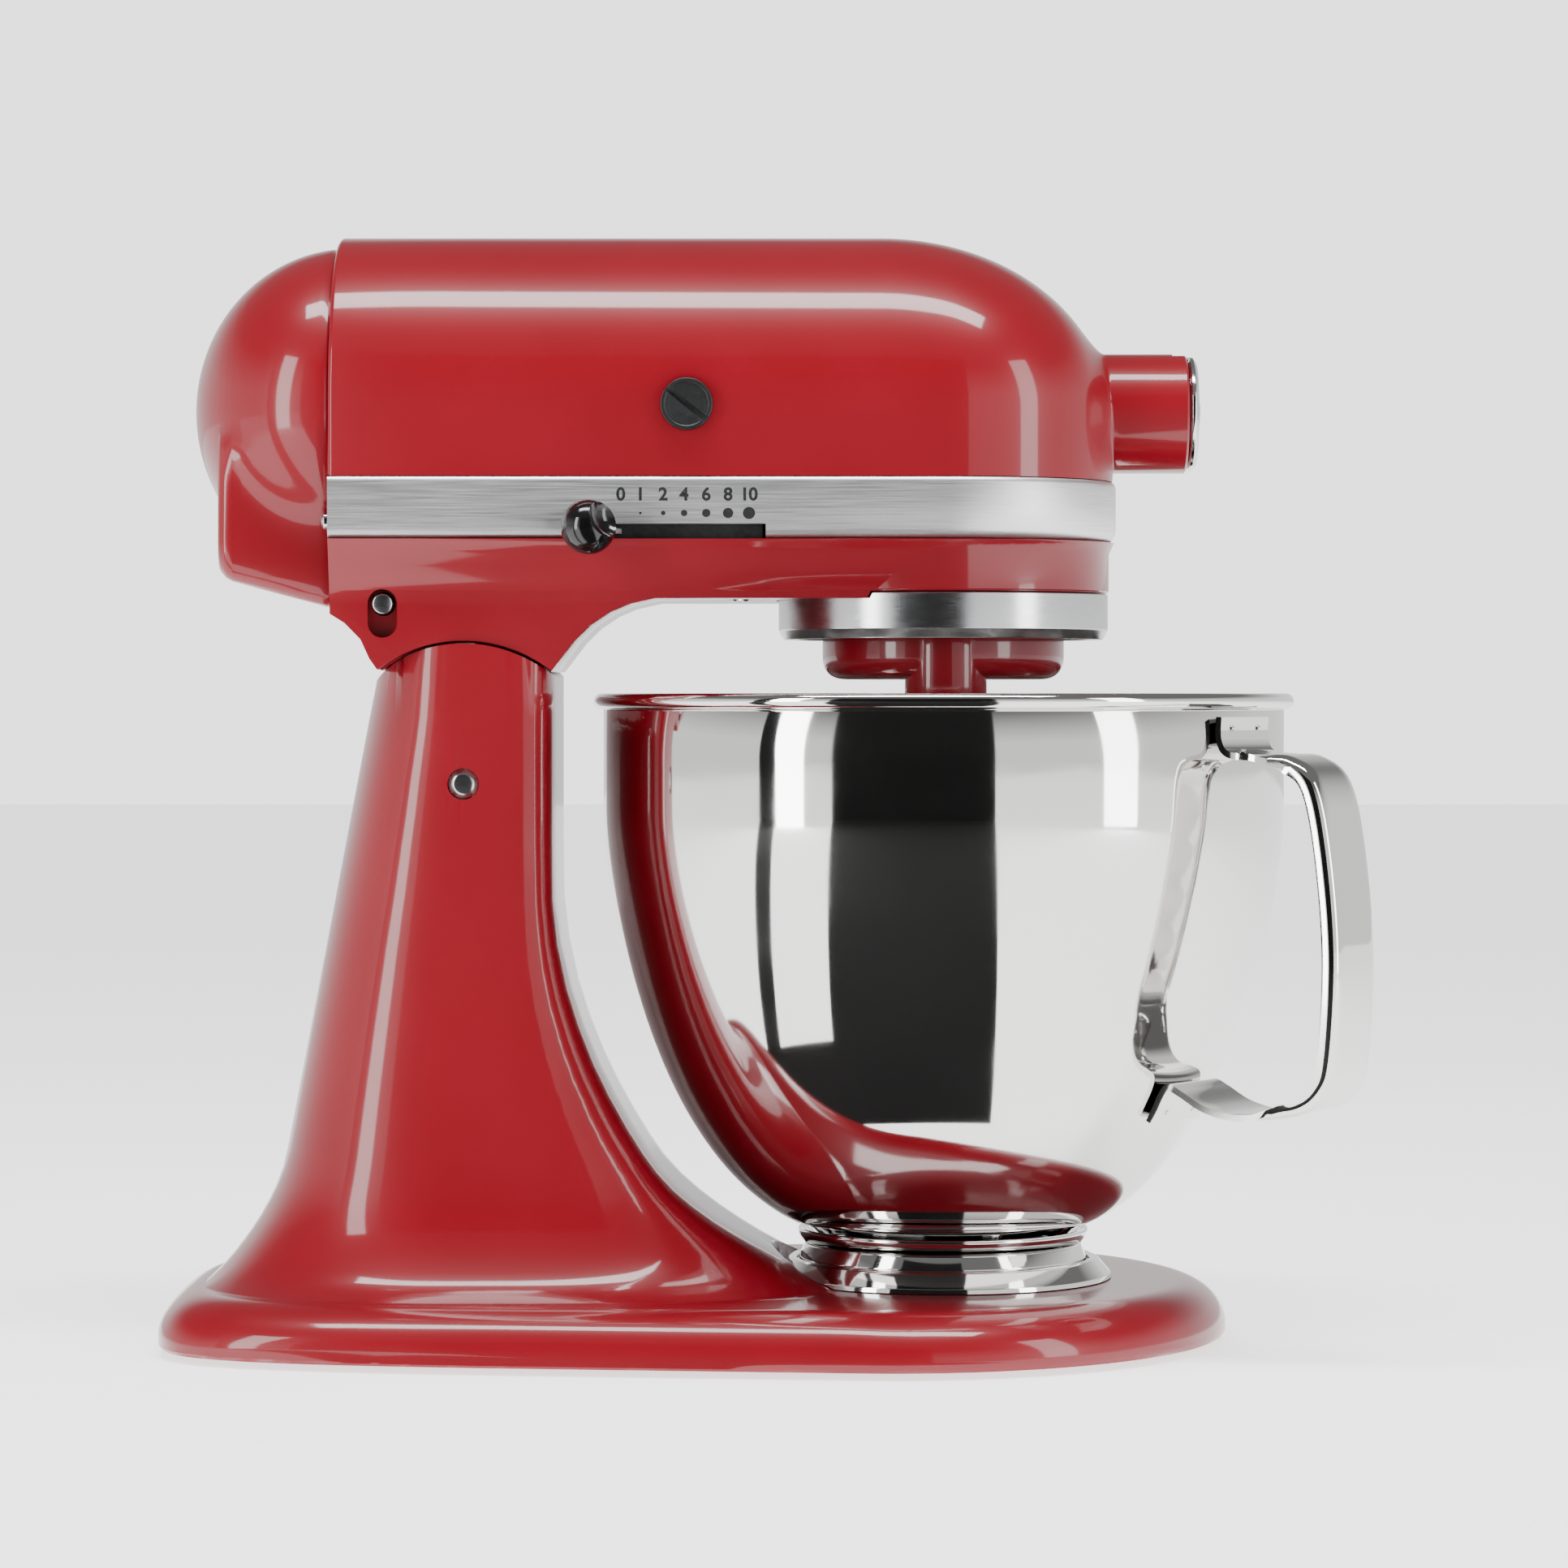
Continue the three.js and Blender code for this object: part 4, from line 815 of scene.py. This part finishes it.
def drip_ring():
    """Turned collar round the planetary, with a lip that catches drips."""
    inner, outer, bottom, top = 48, 53, 224.6, SKIRT_Z - 0.3
    ring = turned(rounded([
        (inner, top, 0), (outer - 0.4, top, 0.5), (outer, top - 0.4, 0), (outer, bottom + 3, 1.2),
        (outer - 1.6, bottom, 0.8), (inner - 0.6, bottom, 0.8), (inner - 1, bottom + 1.5, 0),
        (inner, bottom + 2, 0)]), closed=True, steps=160)
    finish_piece(ring, "drip_collar", "head", SATIN, "drip_ring", slot="satin_metal")


def planetary():
    """Painted cup with the beater's sleeve standing out of its front."""
    radius, bottom, top, sleeve_r = 38.9, 211.8, 227.5, 13
    sleeve_low = low("planetary_housing", "z")
    cup = rounded([(0, bottom, 0), (radius, bottom, 8), (radius, top, 0), (0, top, 0)], 12)
    housing = turned(cup, steps=128)
    sleeve = turned([(0, sleeve_low), (sleeve_r - 0.8, sleeve_low), (sleeve_r, sleeve_low + 0.8),
                     (sleeve_r, top - 0.1), (0, top - 0.1)])
    carve(housing, shift(sleeve, 0, BEATER_Y, 0), operation="UNION")
    carve(housing, rod("z", 6.3, sleeve_low - 1, sleeve_low + 16, 0, BEATER_Y))
    soften(housing, 2.2, 4, 40)
    finish_piece(housing, "planetary_cup", "planetary", RED, "planetary_housing", slot="red_enamel",
                 angle=45)


drip_ring()
planetary()

# ------------------------------------------------------------------ bowl


def bowl_radius(z):
    """Outside radius of the bowl: straight above the shoulder, then closing towards the floor."""
    return BOWL_R * max(1 - (max(0, BOWL_SHOULDER - z) / BOWL_DEPTH) ** 1.6, 0) ** 0.33


def mixing_bowl():
    """Spun sheet with a flat floor, straight upper wall and a rolled rim."""
    floor_z, bead_z, bead_r = 36, 204.9, 2.4
    outside = [(0, floor_z), (20, floor_z), (38, floor_z), (43, floor_z + 0.6)]
    outside += [(bowl_radius(z), z) for z in steps(38, 74, 18) + steps(77, BOWL_SHOULDER, 24) + [186, 202]]
    bead = arc(BOWL_R + 0.7, bead_z, bead_r, -120, 150, 18)
    inner_r, inner_floor = BOWL_R - BOWL_WALL, floor_z + BOWL_WALL
    inside = [(inner_r, 203), (inner_r, 186)]
    inside += [(bowl_radius(z) - BOWL_WALL, z) for z in steps(BOWL_SHOULDER, 77, 24) + steps(74, 41, 16)]
    inside += [(44, inner_floor + 0.9), (38, inner_floor), (20, inner_floor), (0, inner_floor)]
    bowl = turned(outside + bead + inside, steps=192)
    finish_piece(bowl, "mixing_bowl", "bowl", MIRROR, "bowl", slot="polished_steel", angle=40)


def foot_ring():
    """Rolled foot that carries the bowl and drops into the clamp plate."""
    bottom, top = low("bowl_foot", "z"), high("bowl_foot", "z")
    profile = rounded([
        (43.0, bottom + 0.4, 0), (46.2, bottom, 0.6), (46.2, bottom + 4, 1.5), (44.2, bottom + 9, 4),
        (43.2, top - 7, 3), (46.4, top - 2.6, 2.2), (46.9, top - 1.2, 0.8), (46.4, top - 0.1, 0.7),
        (45.2, top - 0.3, 0.5), (44.0, top - 2.4, 1), (41.9, top - 7, 3), (42.6, bottom + 9, 4),
        (43.0, bottom + 5, 1.5)])
    ring = turned(profile, closed=True, steps=160)
    finish_piece(ring, "foot_hoop", "bowl", MIRROR, "bowl_foot", slot="polished_steel", angle=40)


def handle_spine():
    """Middle line of the handle's strap, in its own plane, as (distance from the bowl's axis, height)."""
    wall, reach = BOWL_R + 1.3, 150
    points = [(wall, 200), (wall, 193), (wall + 3, 188.6), (wall + 12, 187.6), (reach - 17, 187),
              (reach - 8, 180), (reach - 3, 160), (reach, 128), (reach - 1.5, 96), (reach - 5, 85),
              (reach - 14, 79), (118, 76.8), (106, 78.8), (97, 83.4), (92.6, 85.2)]
    points += [(bowl_radius(z) + 1.5, z) for z in (82.5, 78.5, 74)]
    return smooth_line(points, 8)


def smooth_line(points, parts):
    """A curve through the points, evenly divided between them."""
    line = []
    for i in range(len(points) - 1):
        a, b = points[max(i - 1, 0)], points[i]
        c, d = points[i + 1], points[min(i + 2, len(points) - 1)]
        for k in range(parts):
            t = k / parts
            line.append(tuple(
                0.5 * (2 * q + (r - p) * t + (2 * p - 5 * q + 4 * r - s) * t * t
                       + (3 * q - p - 3 * r + s) * t ** 3)
                for p, q, r, s in zip(a, b, c, d)))
    return line + [points[-1]]


def bowl_handle():
    """Steel strap bent into a loop: welded flat ends, and a grip with curled edges and finger ridges."""
    spine = handle_spine()
    thick, half, ridge_low, ridge_high, ridge_pitch = 1.0, 14.6, 96, 172, 19
    rings = []
    for i, (r, z) in enumerate(spine):
        (r0, z0), (r1, z1) = spine[max(i - 1, 0)], spine[min(i + 1, len(spine) - 1)]
        length = math.hypot(r1 - r0, z1 - z0)
        out_r, out_z = -(z1 - z0) / length, (r1 - r0) / length
        grip = min(max((r - 122) / 12, 0), 1)
        ridge = 0
        if r > 138 and ridge_low < z < ridge_high:
            ridge = 0.45 * (1 - math.cos((z - ridge_low) / ridge_pitch * 2 * math.pi))
        ring = []
        for share in steps(-1, 1, 16) + steps(1, -1, 16):
            upper = len(ring) <= 16
            curl = grip * 3.2 * max(0, abs(share) - 0.72) / 0.28
            lift = (thick if upper else -thick) - curl * abs(share)
            if not upper:
                lift -= ridge * grip * max(0, 1 - (share / 0.75) ** 4)
            across = share * (half - (0.5 * curl if abs(share) > 0.9 else 0))
            ring.append((r + out_r * lift, across, z + out_z * lift))
        rings.append(ring)
    strap = turn(skin(rings), "Z", HANDLE_ANGLE)
    azimuth = math.radians(HANDLE_ANGLE)
    for r, z in ((BOWL_R + 2.1, 196.5), (bowl_radius(77) + 2.2, 77)):
        for across in (-8, 8):
            x = r * math.cos(azimuth) - across * math.sin(azimuth)
            y = r * math.sin(azimuth) + across * math.cos(azimuth)
            bpy.ops.mesh.primitive_uv_sphere_add(segments=20, ring_count=12, radius=0.9 * MM)
            weld = shift(bpy.context.object, x, y, z)
            finish_piece(weld, "handle_weld", "bowl", SATIN, slot="polished_steel")
    finish_piece(strap, "handle_strap", "bowl", MIRROR, "bowl_handle", slot="polished_steel", angle=50)


mixing_bowl()
foot_ring()
bowl_handle()


def clamp_plate():
    """Shallow polished dish on the deck, with an inward lip that holds the bowl's foot."""
    bottom = DECK_Z + 0.3
    top, outer, lip = bottom + 6.4, 54.3, 47.1
    profile = rounded([
        (0, bottom, 0), (outer, bottom, 0), (outer - 0.2, bottom + 1.4, 0.6), (outer - 4.4, top - 0.4, 1.5),
        (outer - 5.6, top, 0.5), (lip + 0.6, top, 0.4), (lip, top - 0.6, 0.3), (lip, top - 1.6, 0),
        (lip + 1.3, top - 1.6, 0), (lip + 1.3, bottom + 2, 0), (0, bottom + 2, 0)])
    plate = turned(profile, steps=160)
    finish_piece(plate, "bowl_clamp", "stand", MIRROR, "bowl_clamp_plate", slot="polished_steel")


clamp_plate()

# ------------------------------------------------------------------ hub, pin, feet, screws and knobs


def hub_cover():
    """Hinged disc over the attachment socket, with a raised round pip in the middle."""
    face = HUB_FACE + 0.3
    disc = turned(rounded([
        (0, 0, 0), (17.4, 0, 0), (18.2, 0.8, 0.3), (18.2, 1.8, 0.6), (16.4, 3.0, 0.6), (15.6, 2.7, 0.4),
        (5, 3.4, 2), (4.2, 4.2, 0.8), (0, 4.5, 0)]))
    turn(disc, "Y", 90)
    shift(disc, face, 0, MOTOR_Z)
    ear = block((HUB_FACE - 3.8, face + 0.8), (-3.4, 3.4), (MOTOR_Z + 15.5, MOTOR_Z + 18.1), 0.5)
    finish_piece(disc, "hub_disc", "hub_cover", CHROME, "hub_cap", slot="polished_steel")
    finish_piece(ear, "hub_disc_ear", "hub_cover", CHROME, slot="polished_steel")


def pin_heads():
    """Domed ends of the hinge pin, seen in the sides of the column."""
    pin = rod("y", 4.0, low("hinge_pin", "y") + 1.2, high("hinge_pin", "y") - 1.2, PIN_X, PIN_Z)
    finish_piece(pin, "hinge_rod", "stand", CHROME, "hinge_pin", slot="gear_steel")
    for side, where in ((-1, "left"), (1, "right")):
        dome = rounded([(0, 0, 0), (4.7, 0, 0), (4.7, 0.6, 0.2), (3.0, 1.6, 1.5), (0, 1.9, 0)])
        head = turned(dome, steps=64)
        turn(head, "X", -90 * side)
        shift(head, PIN_X, side * (abs(low("hinge_pin", "y")) - 1.9), PIN_Z)
        finish_piece(head, "pin_head_" + where, "stand", SATIN, slot="gear_steel")


def rubber_feet():
    for i in range(1, 6):
        node = "foot_%d" % i
        x, y, _ = centre(node)
        pad = rounded([(0, 0, 0), (8.8, 0, 0.4), (9.9, 1.2, 0.5), (9.9, 2.2, 0), (0, 2.2, 0)])
        foot = turned(pad, steps=48)
        shift(foot, x, y, 0)
        finish_piece(foot, "rubber_foot_%d" % i, "stand", RUBBER, node, slot="rubber")


def clamp_knob():
    """Round knob that tightens an attachment in the hub: fluted plastic on a steel stem."""
    x = centre("attachment_knob")[0]
    start = HUB_R + 0.3
    long = high("attachment_knob", "y") - start
    knob = turned(rounded([
        (0, 0, 0), (7, 0, 0), (10.3, 2, 1), (10.3, long - 3, 0), (9, long - 0.4, 1.5), (6.5, long, 0.8),
        (0, long, 0)]))
    for u, v in arc(0, 0, 11.2, 0, 360, 12)[:-1]:
        carve(knob, rod("z", 1.5, -1, long + 1, u, v, 20))
    turn(knob, "X", -90)
    shift(knob, x, start, MOTOR_Z)
    soften(knob, 0.25, 2, 35)
    finish_piece(knob, "hub_knob_grip", "hub_knob", SATIN_BLACK, "attachment_knob", slot="black_plastic")
    stem = rod("y", 2.9, 13.8, start + 1, x, MOTOR_Z)
    finish_piece(stem, "hub_knob_stem", "hub_knob", CHROME, slot="gear_steel")


def lock_and_bush():
    """Lock lever on the far side, the end of its shaft in the near side's pocket, and the inlet bush."""
    start, arm = 53.5, math.radians(-50)
    tip_x, tip_z = LOCK_X + 30 * math.cos(arm), LOCK_Z + 30 * math.sin(arm)
    side_x, side_z = 4 * math.sin(arm), -4 * math.cos(arm)
    lever = side_slab(arc(LOCK_X, LOCK_Z, 7.4, 0, 360, 48)[:-1], start - 1.5, start + 5)
    bar = [(LOCK_X + side_x, LOCK_Z + side_z), (tip_x + side_x, tip_z + side_z),
           (tip_x - side_x, tip_z - side_z), (LOCK_X - side_x, LOCK_Z - side_z)]
    grip = rod("y", 6.3, start, start + 8.4, tip_x, tip_z, 64)
    carve(lever, side_slab(bar, start, start + 4.8), grip, operation="UNION")
    soften(lever, 0.9, 3, 35)
    finish_piece(lever, "lock_handle", "head_lock", SATIN_BLACK, "lock_lever", slot="black_plastic")

    button = turned(rounded([(0, 0, 0), (3.2, 0, 0), (3.2, 1.2, 0.6), (0, 1.7, 0)]), steps=48)
    turn(button, "X", 90)
    shift(button, LOCK_X, -46.2, LOCK_Z)
    finish_piece(button, "lock_shaft_end", "head_lock", SATIN, slot="gear_steel")

    bush = turned(rounded([
        (3.2, 0, 0), (4.9, 0, 0), (4.9, 7.3, 0), (7.4, 7.3, 0.3), (7.4, 9.2, 0.5), (6.4, 10, 0.6),
        (3.9, 10, 0.4), (3.2, 9.4, 0)]), closed=True, steps=48)
    turn(bush, "X", -90)
    x, _, z = centre("cord_inlet_bush")
    shift(bush, x, high("cord_inlet_bush", "y") - 10, z)
    finish_piece(bush, "inlet_bush", "head", RUBBER, "cord_inlet_bush", slot="rubber")


def screw_head(name, node, axis, radius, rise, angle):
    """Domed screw head with a cross recess, over the outer end of a CAD screw in the head."""
    dome = rounded([(0, -1.5, 0), (radius, -1.5, 0), (radius, 0.4, 0.3), (radius * 0.6, rise * 0.85, 1),
                    (0, rise, 0)])
    head = turned(dome, steps=48)
    for quarter in (0, 90):
        bar = block((-radius * 0.6, radius * 0.6), (-0.4, 0.4), (rise - 1.1, rise + 1))
        carve(head, turn(bar, "Z", angle + quarter))
    x, y, z = centre(node)
    if axis == "x":
        turn(head, "Y", -90)
        shift(head, low(node, "x") + 0.6, y, z)
    else:
        turn(head, "X", 180)
        shift(head, x, y, low(node, "z") + 0.6)
    finish_piece(head, name, "head", CHROME, node, slot="gear_steel", angle=40)


def flat_paddle():
    """Coated leaf-shaped beater: a rounded outer frame, a middle spine, a swept rib and a hub."""
    foot_z, top_z = 44, PLANET_FLOOR - 48
    outer = [(7, top_z), (30, 146), (46, 118), (48, 96), (40, 72), (24, 52), (8, foot_z)]
    inner = [(7 - 8 / 3, top_z), (22, 144), (38, 118), (40, 96), (32, 76), (16, 60), (5.3, foot_z + 8)]

    def leaf(half, depth):
        line = smooth_line(half, 8)
        return side_slab(line + [(-x, z) for x, z in reversed(line)], -depth, depth)

    paddle = leaf(outer, 4)
    carve(paddle, leaf(inner, 6))
    spine = block((-4, 4), (-3.4, 3.4), (foot_z + 2, top_z + 2))
    rib = side_slab([(-43, 112), (-43, 105), (0, 88), (43, 105), (43, 112), (0, 95)], -3.2, 3.2)
    hub = rod("z", 10, top_z - 4, high("flat_beater", "z"), 0, 0, 64)
    carve(paddle, spine, rib, hub, operation="UNION")
    shaft_bore = rod("z", 6.3, top_z - 1, 260, 0, 0, 64)
    pin_slot = block((-12, 12), (-2, 2), (low("beater_pin", "z") - 0.5, 260))
    carve(paddle, shaft_bore, pin_slot)
    soften(paddle, 1.4, 3, 40)
    shift(paddle, 0, BEATER_Y, 0)
    finish_piece(paddle, "flat_paddle", "beater", CAD_LOOKS["white_coating"], "flat_beater",
                 slot="white_coating", angle=40)


hub_cover()
pin_heads()
rubber_feet()
clamp_knob()
screw_head("cover_screw_head", "rear_cover_screw", "x", 3.6, 2.0, 20)
screw_head("trim_screw_head", "trim_screw", "x", 2.8, 1.6, 45)
screw_head("case_screw_head", "gearcase_screw", "z", 3.6, 1.6, 10)
flat_paddle()
lock_and_bush()

# ------------------------------------------------------------------ camera, light and floor

WALL_LIGHT = 1.2
CEILING_LIGHT = 0.2
BACKDROP_LIGHT = 2.4


def studio():
    """A long lens at the bowl's rim, a pale floor, soft boxes, and dark flags for the steel to reflect."""
    view_x, view_z, eye_z, distance, field = -51.3, 178.1, 205.8, 1600, 505.8
    bpy.ops.object.camera_add(location=Vector((view_x, -distance, eye_z)) * MM)
    camera = bpy.context.object
    aim = Vector((view_x, 0, view_z)) * MM - camera.location
    camera.rotation_euler = aim.to_track_quat("-Z", "Y").to_euler()
    camera.data.sensor_width = 36
    camera.data.lens = 36 * distance / field
    camera.data.clip_end = 50
    bpy.context.scene.camera = camera

    bpy.ops.mesh.primitive_plane_add(size=16)
    floor = bpy.context.object
    floor.name = "floor"
    paper, _, _ = surface("lit white table", "#fafafa", roughness=0.9, specular_ior_level=0.1,
                          emission_color=linear("#ffffff"), emission_strength=1.6)
    floor.data.materials.append(paper)

    world = bpy.data.worlds.new("studio")
    bpy.context.scene.world = world
    world.use_nodes = True
    tree = world.node_tree
    sky = tree.nodes["Background"]
    sky.inputs["Color"].default_value = linear("#ffffff")
    # Pale walls round the table under a dimmer ceiling, with a bright sweep behind the object.
    way = add_node(tree, "ShaderNodeTexCoord")
    split = add_node(tree, "ShaderNodeSeparateXYZ", [("Vector", way.outputs["Generated"])])
    walls = ramp(tree, split.outputs["Z"], WALL_LIGHT, CEILING_LIGHT, 0.2, 0.5)
    ray = add_node(tree, "ShaderNodeLightPath")
    links = [("Factor", ray.outputs["Is Camera Ray"]), ("A", walls)]
    direct = add_node(tree, "ShaderNodeMix", links, data_type="FLOAT")
    direct.inputs["B"].default_value = BACKDROP_LIGHT
    tree.links.new(direct.outputs["Result"], sky.inputs["Strength"])

    def soft_box(name, place, target, size, power):
        bpy.ops.object.light_add(type="AREA", location=place)
        lamp = bpy.context.object
        lamp.name = name
        lamp.data.shape = "RECTANGLE"
        lamp.data.size, lamp.data.size_y = size
        lamp.data.energy = power
        lamp.rotation_euler = (Vector(target) - Vector(place)).to_track_quat("-Z", "Y").to_euler()

    soft_box("top box", (-0.1, -0.34, 1.45), (-0.06, 0, 0.25), (1.3, 0.26), 26)
    soft_box("left box", (-1.3, -1.0, 0.55), (-0.1, 0, 0.2), (0.3, 1.3), 14)
    soft_box("right box", (1.25, -0.8, 0.6), (0, 0, 0.2), (0.35, 1.2), 10)

    cloth, _, _ = surface("black cloth", "#050505", roughness=1.0)

    def flag(name, start, end, near, far, top):
        """Black cloth on the floor and up a frame, between two directions about -Y, only for reflections."""
        angles = [math.radians(a) for a in steps(start, end, 12)]
        rows = [[(reach * math.sin(a), -reach * math.cos(a), z) for a in angles]
                for reach, z in ((near, 0.003), (far, 0.003), (far, top))]
        mesh = bpy.data.meshes.new(name)
        count = len(rows[0])
        faces = [(k * count + i, k * count + i + 1, (k + 1) * count + i + 1, (k + 1) * count + i)
                 for k in range(2) for i in range(count - 1)]
        mesh.from_pydata([p for row in rows for p in row], [], faces)
        mesh.materials.append(cloth)
        piece = bpy.data.objects.new(name, mesh)
        bpy.context.scene.collection.objects.link(piece)
        piece.visible_camera = piece.visible_diffuse = piece.visible_shadow = False

    flag("middle flag", -38, 15, 0.125, 2.4, 1.9)
    flag("narrow flag", -64, -58, 0.2, 2.4, 1.9)
    flag("toe flag", -62, -38, 0.125, 0.21, 0.004)


studio()
